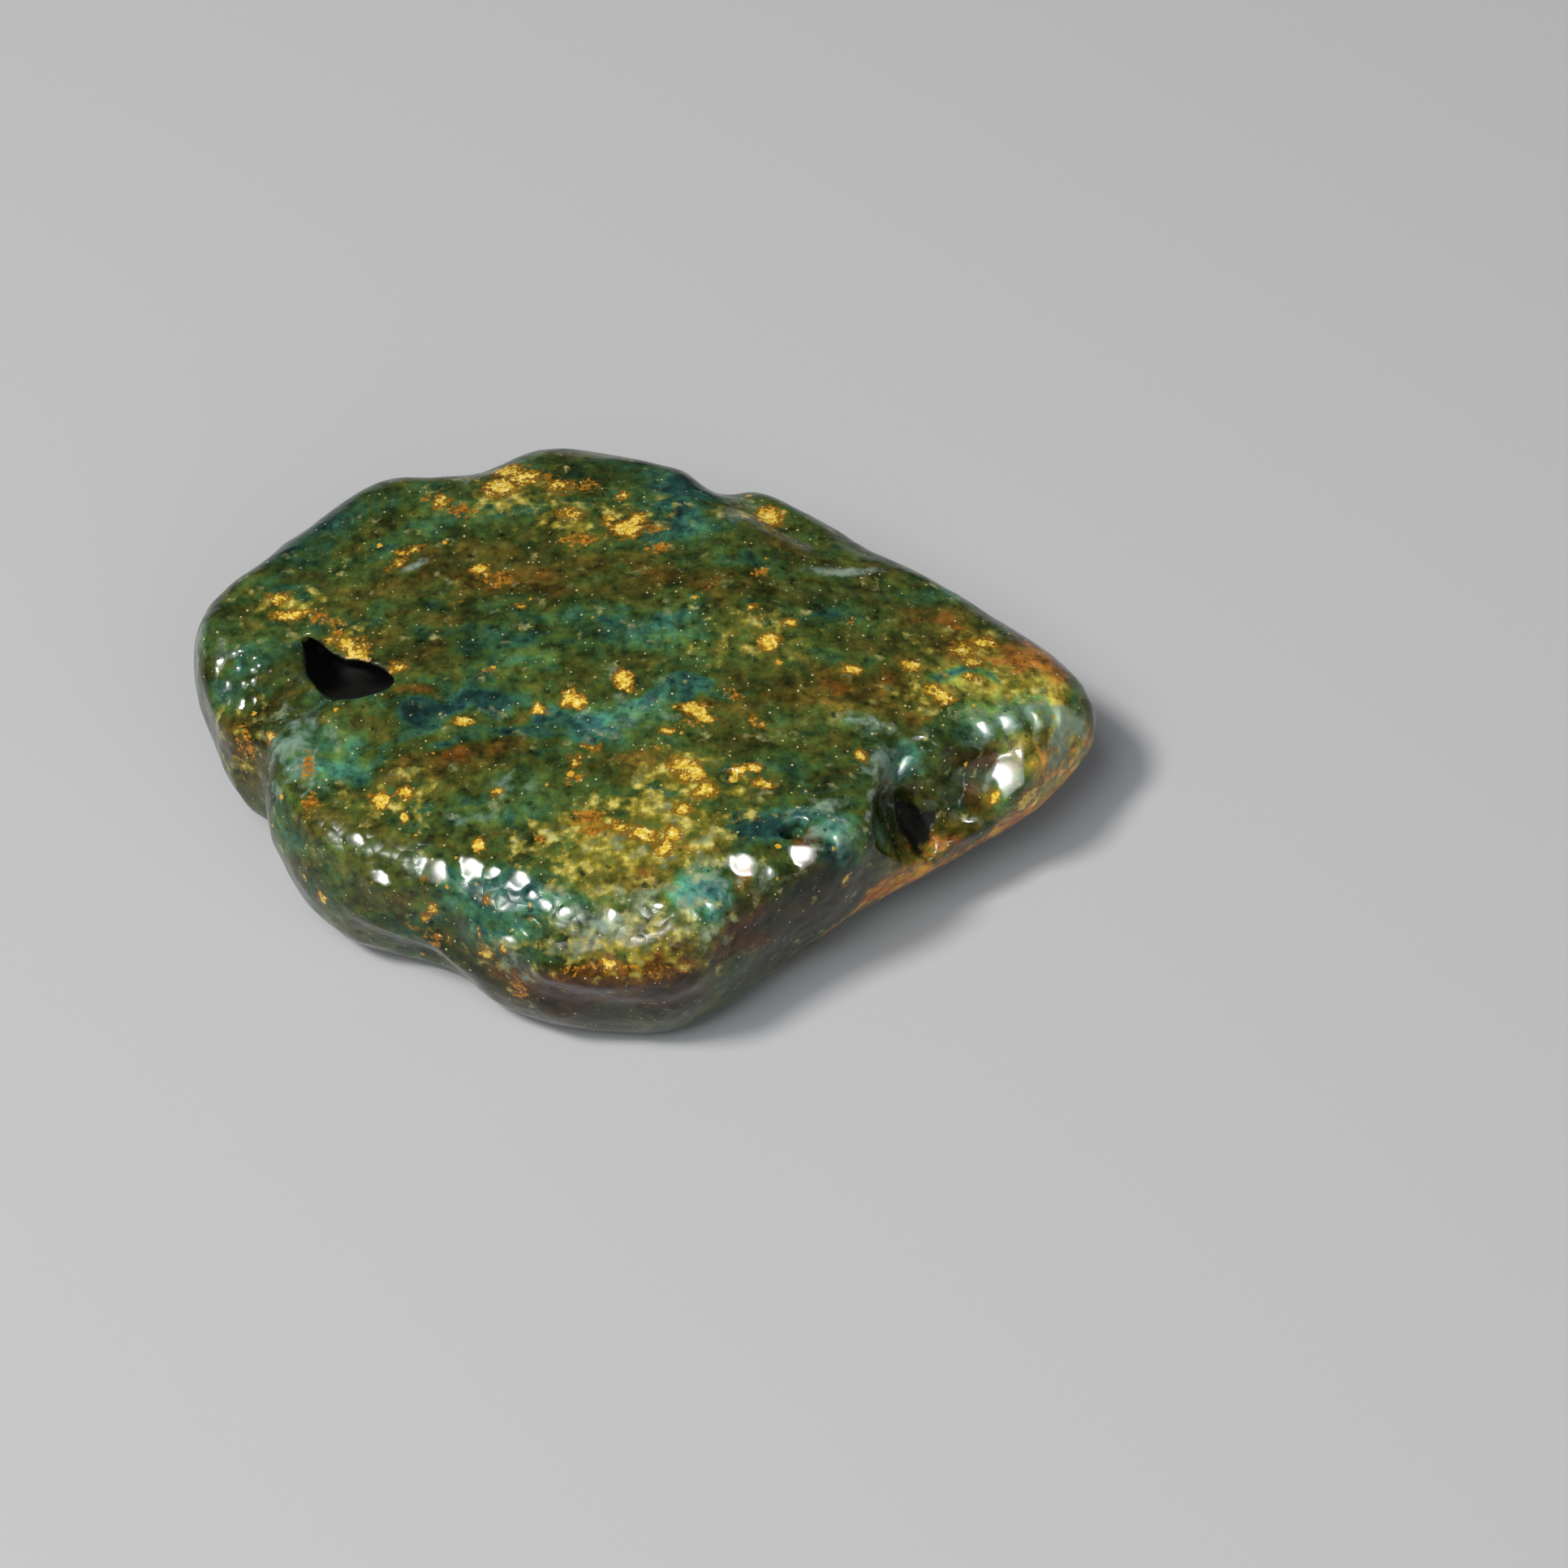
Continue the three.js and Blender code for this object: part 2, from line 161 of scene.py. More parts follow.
# %% Small gas holes
# Each hole is [x, y, z, half length, half width, half depth, turn in degrees], in millimetres.
GAS_HOLES = [
    (-24.6, -5.0, 11.6, 0.5, 0.35, 0.6, 30),
    (-20.4, -7.8, 12.4, 0.45, 0.3, 0.6, 60),
    (10.6, -9.7, 13.4, 0.7, 0.3, 0.7, -15),
    (9.7, -15.9, 12.0, 0.45, 0.5, 0.8, 0),
    (6.6, -17.6, 11.8, 0.6, 0.4, 0.7, 25),
    (-5.4, -20.2, 10.9, 0.8, 0.4, 0.8, -35),
    (-12.0, -3.4, 13.8, 0.7, 0.25, 0.5, 15),
    (3.2, -3.2, 14.1, 0.6, 0.25, 0.5, -10),
    (-21.6, 7.6, 13.2, 0.5, 0.3, 0.5, -20),
]
bpy.ops.object.select_all(action="DESELECT")
for x, y, z, length, width, depth, turn in GAS_HOLES:
    bpy.ops.mesh.primitive_ico_sphere_add(
        subdivisions=3,
        radius=1,
        location=(x * MM, y * MM, z * MM),
        rotation=(0, 0, math.radians(turn)),
        scale=(length * MM, width * MM, depth * MM),
    )
    hole = bpy.context.object
    bpy.ops.object.transform_apply(location=True, rotation=True, scale=True)
    finish_modifier(lump, "BOOLEAN", operation="DIFFERENCE", solver="EXACT", object=hole)
    bpy.data.objects.remove(hole)
print("cut", len(GAS_HOLES), "gas holes:", len(lump.data.polygons), "faces")

# %% Even net of faces
NET = 0.28 * MM
finish_modifier(lump, "REMESH", mode="VOXEL", voxel_size=NET, adaptivity=0)
finish_modifier(lump, "SMOOTH", factor=0.5, iterations=3)
print("net:", len(lump.data.vertices), "vertices,", len(lump.data.polygons), "faces")

# %% [markdown]
# Tumbling leaves a skin that is smooth to the finger but never flat. Clouds of soft noise push it in
# and out: shallow swells, small beads all over, and taller beads along the worn front edge. The inside
# of the chip is a fresh break, so it gets sharper ribs of its own. Sculpting by hand would do too, but
# noise is even and quick. A vertex group keeps it off the underside, which stays flat on the floor.

# %% Where each bump may go
CHIP = (19.7, -9.6, 10.5)
BROW = [
    (-19.5, -13.0, 12.3),
    (-16.5, -15.8, 12.0),
    (-9.0, -17.2, 12.6),
    (-4.0, -20.2, 12.4),
    (4.0, -20.3, 12.5),
    (8.0, -17.2, 13.2),
    (13.5, -14.8, 13.4),
]


def corner_places(piece):
    """The places of a mesh's corners, in millimetres."""
    places = np.empty(len(piece.data.vertices) * 3)
    piece.data.vertices.foreach_get("co", places)
    return places.reshape(-1, 3) / MM


def soft_step(values):
    """0 up to 0, 1 from 1, and a soft passage between them."""
    values = np.clip(values, 0, 1)
    return values * values * (3 - 2 * values)


def from_line(places, points):
    """How far each place is from a line through the points, or from a single point."""
    points = np.array(points)
    nearest = np.linalg.norm(places - points[0], axis=1)
    for start, end in zip(points, points[1:]):
        along = np.clip((places - start) @ (end - start) / ((end - start) @ (end - start)), 0, 1)
        away = places - start - along[:, None] * (end - start)
        nearest = np.minimum(nearest, np.linalg.norm(away, axis=1))
    return nearest


def weigh(name, weights):
    """Keeps one weight for each corner as a vertex group, which tells a modifier where to act."""
    group = lump.vertex_groups.new(name=name)
    for index in np.flatnonzero(weights):
        group.add([int(index)], float(weights[index]), "REPLACE")
    print(name, "covers", int((weights > 0.5).sum()), "corners")


BREAK_REACH = 6.5  # millimetres from the middle of the chip
BROW_REACH = 4.2  # millimetres from the line of the brow
REACH_EDGE = 2.2  # both fade out over this width
net_places = corner_places(lump)
lift = np.clip(net_places[:, 2] / 2.5 - 0.2, 0, 1)  # 0 on the underside, 1 from 3 mm up
weigh("skin", lift)
weigh("break", lift * soft_step((BREAK_REACH - from_line(net_places, [CHIP])) / REACH_EDGE))
weigh("brow", lift * soft_step((BROW_REACH - from_line(net_places, BROW)) / REACH_EDGE))


# %% Bumps
def bumps(name, group, wavelength, height, depth=1):
    """Pushes the skin in and out by soft noise, up to half of height each way, all in millimetres."""
    clouds = bpy.data.textures.new(name, "CLOUDS")
    clouds.noise_scale = wavelength * MM
    clouds.noise_depth = depth
    clouds.noise_basis = "ORIGINAL_PERLIN"
    finish_modifier(
        lump,
        "DISPLACE",
        texture=clouds,
        texture_coords="LOCAL",
        vertex_group=group,
        strength=height * MM,
        mid_level=0.5,
    )


bumps("swells", "skin", 4.2, 0.4)
bumps("beads", "skin", 1.9, 0.16)
bumps("brow beads", "brow", 1.5, 0.36)
bumps("ribs", "break", 1.3, 0.5, 2)
lump.vertex_groups.clear()
print("the highest corner is at", round(float(corner_places(lump)[:, 2].max()), 2), "mm")

# %% [markdown]
# Where the slab was rubbed hardest, along its front edge, there are small worn facets, each a little
# domed like a contact lens. They catch the light one by one. Pulling with proportional editing would
# raise a bump, but it can't make a facet look a set way, so here the corners round each place are laid
# on a wide ball in code.
#
# A round spot of light needs a dozen corners across it, so the net is split once more near the facets.
# At the end, the skin between the facets is smoothed a lot and the facets themselves only a little.

# %% Worn facets
# Each facet is [x, y, z, half width, half height] in millimetres. All of them look half way between
# the key light and the camera, so each one shows the key light as a bright spot.
FACETS = [
    (-18.1, -13.8, 12.4, 0.50, 0.50),
    (-16.5, -16.3, 11.2, 0.80, 0.75),
    (-12.6, -16.6, 12.5, 1.05, 0.90),
    (-10.7, -16.3, 12.6, 0.90, 0.75),
    (-9.1, -16.9, 12.8, 0.55, 0.50),
    (-7.3, -17.6, 13.0, 0.70, 0.80),
    (-6.6, -18.7, 12.8, 0.35, 0.35),
    (-5.7, -19.5, 12.6, 0.45, 0.45),
    (-4.2, -20.0, 12.7, 0.35, 0.35),
    (-1.3, -20.2, 12.6, 0.45, 0.40),
    (-8.1, -20.6, 10.5, 0.55, 0.55),
    (1.6, -19.6, 12.8, 0.35, 0.35),
    (4.8, -19.7, 12.9, 0.50, 0.45),
    (4.0, -20.3, 12.8, 0.40, 0.40),
    (5.4, -18.9, 13.0, 0.35, 0.35),
    (7.0, -16.8, 13.4, 0.95, 0.80),
    (8.7, -17.3, 13.3, 0.45, 0.45),
    (10.8, -16.1, 13.6, 0.95, 0.80),
    (12.9, -14.9, 13.6, 0.45, 0.45),
    (17.5, -6.6, 11.3, 0.60, 0.80),
    (24.4, -6.6, 10.1, 0.90, 1.90),
    (22.8, -4.1, 12.1, 0.80, 0.65),
    (24.2, -3.6, 12.0, 0.90, 0.75),
    (26.2, -2.8, 11.6, 0.75, 0.65),
    (27.8, -2.1, 10.8, 0.60, 0.50),
]
FACET_LOOKS = np.array((KEY - forward).normalized())
FACET_SIDE = np.array(Vector((0, 1, 0)).cross(KEY - forward).normalized())
FACET_UP = np.cross(FACET_LOOKS, FACET_SIDE)
FACET_BALL = 12  # radius of the ball for a facet of radius 1
STEEPEST = 0.55  # the farthest that a facet of radius 1 may push the skin
FACET_REACH = 1.9  # a facet pulls on the skin out to this many times its half width
FACET_EDGE = 0.8  # and its pull fades over this last part
FACET_DEPTH = 3.5  # skin farther above or under it than this many radii is left alone
OWN_SKIN = 5  # where facets overlap, the higher this is, the more the nearer one wins
FINE_REACH = 2.4  # the net is split out to this many radii
CALM_REACH = 2.6  # the finest bumps stay off the skin out to this many radii
SOFT_REACH = 3.4  # and it is smoothed out to this many


def on_skin(place):
    """The nearest place on the skin, in millimetres."""
    return tuple(lump.closest_point_on_mesh(Vector(place) * MM)[1] / MM)


print(len(FACETS), "worn facets")

# %% A finer net for the facets
middles = np.empty(len(lump.data.polygons) * 3)
lump.data.polygons.foreach_get("center", middles)
middles = middles.reshape(-1, 3) / MM
fine_faces = np.zeros(len(middles), dtype=bool)
for x, y, z, width, height in FACETS:
    reach = FINE_REACH * math.sqrt(width * height)
    fine_faces |= from_line(middles, [on_skin((x, y, z))]) < reach
bpy.ops.object.select_all(action="DESELECT")
lump.select_set(True)
bpy.context.view_layer.objects.active = lump
bpy.ops.object.mode_set(mode="EDIT")
bpy.ops.mesh.select_mode(type="FACE")
bpy.ops.mesh.select_all(action="DESELECT")
bpy.ops.object.mode_set(mode="OBJECT")
lump.data.polygons.foreach_set("select", fine_faces)
bpy.ops.object.mode_set(mode="EDIT")
bpy.ops.mesh.subdivide(number_cuts=1)
bpy.ops.object.mode_set(mode="OBJECT")
triangles = sum(len(face.vertices) - 2 for face in lump.data.polygons)
print(int(fine_faces.sum()), "faces were split;", triangles, "triangles in all")

# %% Lay the facets on the skin
skin_places = corner_places(lump)
worn = np.zeros(len(skin_places))  # 1 where a facet has hold of the skin
smooth = np.zeros(len(skin_places))  # 1 where the finest bumps stay off
flat = np.zeros(len(skin_places))  # 1 where the skin lies right on a facet's ball
around = np.zeros(len(skin_places))  # 1 on and near the facets
blend = np.zeros(len(skin_places))
total = np.full(len(skin_places), 1e-12)
for x, y, z, width, height in FACETS:
    radius = math.sqrt(width * height)
    away = skin_places - on_skin((x, y, z))
    rise = away @ FACET_LOOKS
    side = away @ FACET_SIDE
    up = away @ FACET_UP
    across = np.hypot(side / width, up / height)
    share = soft_step((FACET_REACH - across) / FACET_EDGE) * soft_step(FACET_DEPTH - np.abs(rise) / radius)
    weight = share * np.exp(-OWN_SKIN * across**2)
    gap = -(side**2 + up**2) / (2 * FACET_BALL * radius) - rise
    limit = STEEPEST * radius
    blend += weight * np.clip(gap, -limit, limit)
    total += weight
    worn = np.maximum(worn, share)
    flat = np.maximum(flat, soft_step(share * 3 - 2) * soft_step((limit + 0.05 - np.abs(gap)) / 0.05))
    distance = np.linalg.norm(away, axis=1) / radius
    smooth = np.maximum(smooth, soft_step(CALM_REACH - distance))
    around = np.maximum(around, soft_step(SOFT_REACH - distance))
skin_places += (worn * blend / total)[:, None] * FACET_LOOKS
skin_places[:, 2] = np.maximum(skin_places[:, 2], 0)
lump.data.vertices.foreach_set("co", (skin_places * MM).ravel())
lump.data.update()
print("the facets take up", int((worn > 0.5).sum()), "corners")

# %% Smooth the skin between the facets
weigh("between", around * (1 - flat))
weigh("facets", around)
finish_modifier(lump, "SMOOTH", vertex_group="between", factor=0.5, iterations=120)
finish_modifier(lump, "SMOOTH", vertex_group="facets", factor=0.5, iterations=14)
lump.vertex_groups.clear()
bpy.ops.object.shade_smooth()
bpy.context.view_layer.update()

# %% [markdown]
# ## Where the markings lie
#
# The pattern of a stone is not the same all over: there is an olive band, a blue vein beside the hole,
# a rusty tip. They could be painted by hand, but a list is easy to change and never blurs. Each patch
# is an oval of the skin. The script works out, for every corner of the net, how deep it lies in each
# patch, and keeps the result as a few numbers on the mesh. The patches are bent by soft noise first,
# so that none of them looks like an oval.
#
# The places and sizes in these lists were not chosen by hand, and are no example to follow. A separate
# program worked them out in millimetres from spots read off the reference picture, and another one
# rounded them. The gas holes, the facets, the brow and the dark balls in the chip began in that way too.

# %% Patches of colour
# Each patch is [x, y, z, half length, half width, turn in degrees, warmth, lightness] in millimetres.
# Warmth moves the colour towards brown (above 0) or towards blue (below 0). Lightness multiplies it,
# and on the rows marked below it is painted light, painted shade or painted glow.
PATCHES = [
    (-22.5, 13.5, 12.5, 6, 2.5, 42, -0.35, 0.6),  # teal edge, back left
    (-15, 13.5, 13.5, 4.5, 3, 0, -0.02, 1),  # green, back left
    (-1.5, 7.5, 14.5, 16, 2.5, -4, 0.22, 0.9),  # long olive band
    (-12.5, 2, 14, 5.5, 2.5, 0, 0.15, 0.85),  # olive beside the deep hole
    (-4.5, 2.5, 14.5, 11, 2, 0, -0.2, 0.95),  # green and teal centre
    (19.5, 4, 12.5, 5, 3, 0, 0.25, 0.95),  # brown, right
    (15.5, -2.5, 13, 6, 1.5, 0, 0.32, 1),  # brown stripe above the chip
    (27, 2.5, 11, 3, 2.5, -53, 0.4, 1),  # red edge of the tip
    (14.5, 4, 13.5, 3, 1.5, 0, -0.22, 1.2),  # teal, right
    (24, -0.5, 12, 4.5, 2, 0, 0.08, 2.2),  # yellow green, right
    (21.5, 0.5, 12.5, 3.5, 2, 0, 0.12, 1.9),  # yellow green, right
    (27, 1, 11.5, 2.5, 2.5, 0, 0.2, 2.4),  # bright tip
    (7.5, 1.5, 14.5, 4, 2, 0, 0.08, 1.5),  # yellow green, centre right
    (14, -4, 13, 3, 1, 0, 0, 2),  # pale stripe above the chip
    (-9, 0, 14, 4, 1.5, 0, -0.2, 1.2),  # green beside the deep hole
    (-9, -11.5, 13.5, 3, 2, 0, -0.05, 1.4),  # green, front
    (-20, -12.5, 12.5, 2, 2, 0, 0, 1.3),  # green, front left
    # Painted light: the side of the tip faces away from the key but is made much lighter.
    (28, -4, 8.5, 3, 3, 0, 0.28, 5.6),  # bright side of the tip
    (25.5, -5, 11, 2, 1, 0, 0.25, 2.4),  # brown crest of the tip
    (22.5, -3, 12, 2.5, 1, 0, -0.15, 1.5),  # green crest of the tip
    (10.5, -15, 14, 0.9, 0.9, 0, 0.7, 1),  # brown spot under the corner's shine
    (7, -18, 12.5, 0.6, 0.9, 0, 0.7, 1),  # brown spot under the corner's shine
    (7, -20, 10, 2, 2, 0, 0.5, 0.9),  # brown patch, front right face
    (20.5, -10, 7, 1.5, 1, 0, 0.45, 1),  # brown floor of the chip
    # Painted shade: the left wall of the chip is darkened, as it lies in shade.
    (16.5, -9.5, 10, 1.5, 2.5, 0, 0.05, 0.4),  # dark left wall of the chip
    (22, -5.5, 11, 1.5, 0.6, 0, 0.6, 0.5),  # brown rim of the chip
    (22.5, -7.5, 8.5, 1, 1, 0, 0.6, 0.8),  # brown right wall of the chip
    # Painted sheen: a lighter blue glow round the bright spot in the chip.
    (17.5, -6.5, 11.5, 0.9, 0.9, 0, -0.5, 1.8),  # blue spot in the chip
    (10.5, -6, 13.5, 7, 2, 0, -0.05, 1.1),  # green stripe left of the chip
    (-10, -7.5, 13.5, 3, 1, 10, 0.34, 0.9),  # brown streak, left
    (-14, -8.5, 13.5, 3.5, 0.9, 12, 0.26, 0.95),  # brown streak, left
    (-14.5, -3, 13.5, 2, 0.6, 0, 0.5, 1.2),  # brown lip of the deep hole
    (-9.5, -10.5, 14, 4, 1, 10, 0.12, 0.9),  # olive, front left
    (-20.5, -7, 13, 2.5, 2.5, 48, -0.28, 1.7),  # pale teal, front left
    (0.5, -9, 14, 3, 1.5, 0, 0.3, 1.2),  # rusty middle
    (-0.5, -16.5, 13.5, 5, 3, 0, 0.2, 1.95),  # yellow front
    (-11.5, -12.5, 13.5, 6, 3, 0, -0.06, 1),  # green, front left
    (9.5, -13.5, 14, 2.5, 1, 20, -0.45, 1.2),  # teal beside the chip
    (13, -15, 13.5, 1.5, 2, 0, -0.5, 1.8),  # teal corner
    (4.5, -19, 13, 2, 1.5, -25, -0.6, 2.6),  # teal streaks, front
    (7.5, -14, 14, 2, 1.5, 0, -0.3, 0.6),  # dark teal, front
    (-9.5, -19, 11.5, 6, 2, 0, -0.45, 1.2),  # teal lobe
    (-1, -23, 10, 5, 0.9, 0, 0.45, 0.9),  # orange line on the ledge
    (1, -21.5, 12, 4, 1.5, 0, 0.02, 1.5),  # yellow green lobe
    (-29.5, 1.5, 8.5, 1, 4, 0, 0.15, 0.6),  # olive left end
    (-26.5, -4.5, 9.5, 2, 7.5, -66, 0.2, 0.7),  # rusty left side
    (-4, 18, 13.5, 6, 1.5, 0, -0.12, 0.7),  # dark back edge
    (3, 16, 13.5, 2.5, 2, 0, -0.35, 0.8),  # teal back edge
    (2, 12, 14, 2.5, 2, 0, -0.3, 1.2),  # teal behind
    # Painted shade: these five patches darken the undercut notch and the part below the front ledge, over
    # their brown colour.
    (-11.5, -19, 8, 2.5, 1.5, 0, 0.3, 0.5),  # brown notch
    (-7.5, -21, 4.5, 5, 2, 0, 0.4, 0.5),  # brown under the lobe
    (0, -22.5, 5, 5, 2, 0, 0.15, 0.6),  # dark under the lobe
    (-4, -23, 8, 3, 2, 0, 0.35, 0.5),  # brown below the ledge
    (2.5, -23, 8, 3, 1.5, 0, 0.2, 0.5),  # dark below the ledge
    (-24.5, -0.5, 12, 3, 2.5, 0, -0.15, 0.65),  # green left end
    # Painted shade: the steep front right face is darkened, as it turns away from the key.
    (11.5, -17, 8, 5.5, 4.5, 37, 0.12, 0.4),  # grey green front right face
    # Painted glow: these two patches make the thin lower edges bright orange, as if lit through from
    # behind.
    (18, -11.5, 5.5, 4, 2, 37, 0.5, 2.4),  # orange lower edge
    (25, -7, 6.5, 2, 2.5, 42, 0.45, 3),  # orange edge of the tip
    # Painted shade: the hollow of the chip is darkened.
    (19.5, -7.5, 9, 3, 3, 0, 0.05, 0.55),  # inside of the chip
    (-5, -22, 6.5, 3, 1.5, 0, 0.3, 0.8),  # red patch, front
    # The blue vein, from the deep hole to the right
    (-14, -4.5, 13.5, 2, 0.5, 31, -0.4, 0.7),
    (-10, -3.5, 13.5, 3, 0.8, 5, -0.4, 0.8),
    (-5, -5, 13.5, 4, 0.9, 8, -0.35, 1),
    (-1, -4.5, 14, 3, 1.5, 0, -0.35, 1.9),
    (-2.5, -6.5, 14, 2.5, 0.7, -13, -0.4, 0.9),
    (2.5, -2.5, 14, 3, 0.8, 13, -0.4, 1.1),
    (5.5, -3, 14, 2.5, 0.5, 0, -0.6, 0.8),
    (21.5, 0, 12.5, 2.5, 0.4, 7, -0.7, 0.28),
    (-9.5, -6, 13.5, 4, 0.6, 16, -0.3, 0.8),
    (-15, -6, 13.5, 2, 0.6, 37, -0.3, 0.9),
    (-18, -9, 13, 1.5, 0.6, 57, -0.3, 1.2),
]
print(len(PATCHES), "patches of colour")

# %% [markdown]
# Gold is where light comes back from small cracks inside the amber. Rust is dirt that crept in along
# them. Haze is a cloud of tiny bubbles. Milk is such clouds too, and also painted sheen round the
# bright spots. The pale marks are old healed cracks, and some of them are painted glints and
# highlights. Honey paints the glow of thin edges. All of them are small ovals like the patches, and
# the long ones are lines through a few points.

# %% Gold, rust and pale marks
# Gold and rust marks are [x, y, z, half length, half width, strength], in millimetres. The others
# have a turn, in degrees, before the strength. A program sorted the rows and wrote the headings.
GOLD = [
    # Beside the deep hole
    (-20.5, 2.5, 13.5, 0.5, 0.4, 0.7), (-19.5, 2, 13.5, 0.5, 0.5, 1), (-19, 1, 13.5, 0.5, 0.6, 1),
    (-18.5, 1, 13, 0.5, 1.1, 1), (-18.5, 3, 10.5, 0.4, 0.8, 0.8), (-16, -0.5, 14, 0.6, 0.4, 0.9),
    # Back left
    (-24.5, 6.5, 13, 0.8, 0.5, 0.8), (-24, 6.5, 13, 0.5, 0.4, 0.8), (-23.5, 5, 13, 1, 0.4, 1),
    (-16.5, 9.5, 13.5, 0.5, 0.4, 0.7), (-11, 8.5, 13.5, 0.5, 0.4, 1), (-10.5, 8, 14, 0.4, 0.3, 0.8),
    (-8, 5, 14, 0.4, 0.3, 0.6),
    # Along the back
    (-16.5, 10.5, 13.5, 0.4, 0.3, 0.7), (-15.5, 10.5, 13.5, 0.6, 0.4, 0.7), (-14, 15, 13.5, 0.5, 0.6, 0.9),
    (-10, 16.5, 13.5, 1, 0.9, 0.9), (-9.5, 18.5, 13, 0.8, 0.8, 0.9), (-8.5, 17.5, 13.5, 0.9, 0.9, 0.8),
    (-6, 16.5, 13.5, 0.9, 0.7, 0.7), (-5, 13.5, 14, 0.9, 0.6, 0.7), (-2.5, 13, 14, 0.5, 0.5, 0.7),
    (-1.5, 15.5, 13.5, 0.4, 0.4, 0.7), (-1, 12, 14, 1, 0.7, 1), (-0.5, 13, 14, 0.5, 0.5, 0.9),
    (8.5, 14.5, 12.5, 0.7, 0.8, 1),
    # Along the blue vein and right of it
    (-6.5, -4, 13.5, 0.5, 0.2, 0.9), (-6.5, -4, 13.5, 0.5, 0.3, 1), (-5, -3.5, 14, 0.4, 0.3, 0.9),
    (-4.5, -3, 14, 0.5, 0.4, 1), (-4, -3.5, 14, 0.5, 0.4, 1), (-1, -2, 14, 0.5, 0.3, 1),
    (-1, -1.5, 14, 0.5, 0.5, 1), (-0.5, -2.5, 14, 0.3, 0.2, 0.8), (2, -6, 14, 0.4, 0.3, 0.9),
    (3.5, -4, 14, 0.6, 0.4, 1), (4, -4.5, 14, 0.5, 0.5, 1), (4.5, -5, 14, 0.5, 0.4, 1),
    (7.5, -5, 14, 0.3, 0.4, 0.7), (7.5, 4.5, 14.5, 0.4, 0.3, 0.7), (8, -5.5, 14, 0.5, 0.3, 0.7),
    (8.5, 1.5, 14.5, 0.6, 0.5, 1), (10, 3, 14.5, 0.4, 0.3, 1),
    # Right side and tip
    (14, -0.5, 13.5, 0.5, 0.4, 1), (14.5, -7.5, 13, 0.4, 0.4, 1), (18, 0.5, 13, 0.5, 0.4, 1),
    (19.5, -1.5, 13, 0.5, 0.4, 1), (20, -2, 12.5, 0.5, 0.5, 1), (20.5, -2, 12.5, 0.4, 0.3, 0.9),
    (21.5, 2.5, 12, 0.9, 0.7, 0.8), (22, 0, 12.5, 0.4, 0.3, 0.8), (22, 1.5, 12.5, 0.6, 0.5, 0.8),
    (23, 3.5, 12, 0.6, 0.4, 1), (23.5, -7.5, 9, 0.3, 0.3, 0.9), (25.5, -7, 8, 0.6, 0.7, 1),
    (26, -6.5, 8, 0.4, 0.5, 0.9),
    # Front
    (-4, -8.5, 14, 0.4, 0.4, 0.7), (-3, -7.5, 14, 0.6, 0.4, 0.6), (-1, -14, 13.5, 0.8, 0.5, 0.7),
    (0.5, -14.5, 13.5, 0.8, 0.4, 1), (1, -14.5, 13.5, 0.5, 0.3, 0.8), (2, -15.5, 13.5, 0.4, 0.6, 1),
    (2.5, -14.5, 13.5, 0.5, 0.5, 1), (3, -12.5, 14, 0.5, 0.4, 1), (3, -10, 14, 0.5, 0.3, 0.8),
    (3, -9, 14, 0.7, 0.5, 1), (4, -9.5, 14, 0.5, 0.5, 1), (4.5, -11, 14, 0.6, 0.5, 1),
    (6.5, -9.5, 13, 0.3, 0.3, 0.9), (6.5, -9.5, 14, 0.4, 0.3, 1), (7.5, -9, 14, 0.5, 0.3, 1),
    (8, -10.5, 14, 0.5, 0.4, 0.9), (8.5, -10.5, 14, 0.4, 0.3, 0.8),
    # Left side
    (-24, -5, 12, 0.3, 0.5, 0.8), (-16.5, -11, 13, 0.4, 0.5, 1), (-15, -12.5, 13, 0.3, 0.4, 1),
    (-15, -11, 13, 0.2, 0.2, 0.8), (-15, -10.5, 13, 0.4, 0.4, 1), (-11.5, -5, 13.5, 0.5, 0.3, 1),
    (-10, -15, 13, 0.3, 0.5, 1), (-9, -11, 13.5, 0.3, 0.2, 0.8),
    # Below the brow
    (-20.5, -14.5, 7, 0.4, 0.5, 0.8), (-13.5, -17.5, 9, 0.3, 0.2, 0.7), (-13.5, -17, 12, 0.3, 0.2, 0.6),
    (-13, -17.5, 10, 0.3, 0.3, 0.8), (-12, -18.5, 8, 0.2, 0.2, 0.7), (-10, -20, 10, 0.2, 0.2, 0.7),
    (-9.5, -20, 8.5, 0.4, 0.3, 0.9), (-9.5, -18.5, 12, 0.3, 0.3, 0.7), (-8.5, -21, 9.5, 0.3, 0.2, 0.8),
    (-1.5, -22.5, 10.5, 0.5, 0.3, 0.8), (1.5, -23, 10, 0.4, 0.2, 0.6), (13.5, -15.5, 10.5, 0.3, 0.3, 0.9),
]
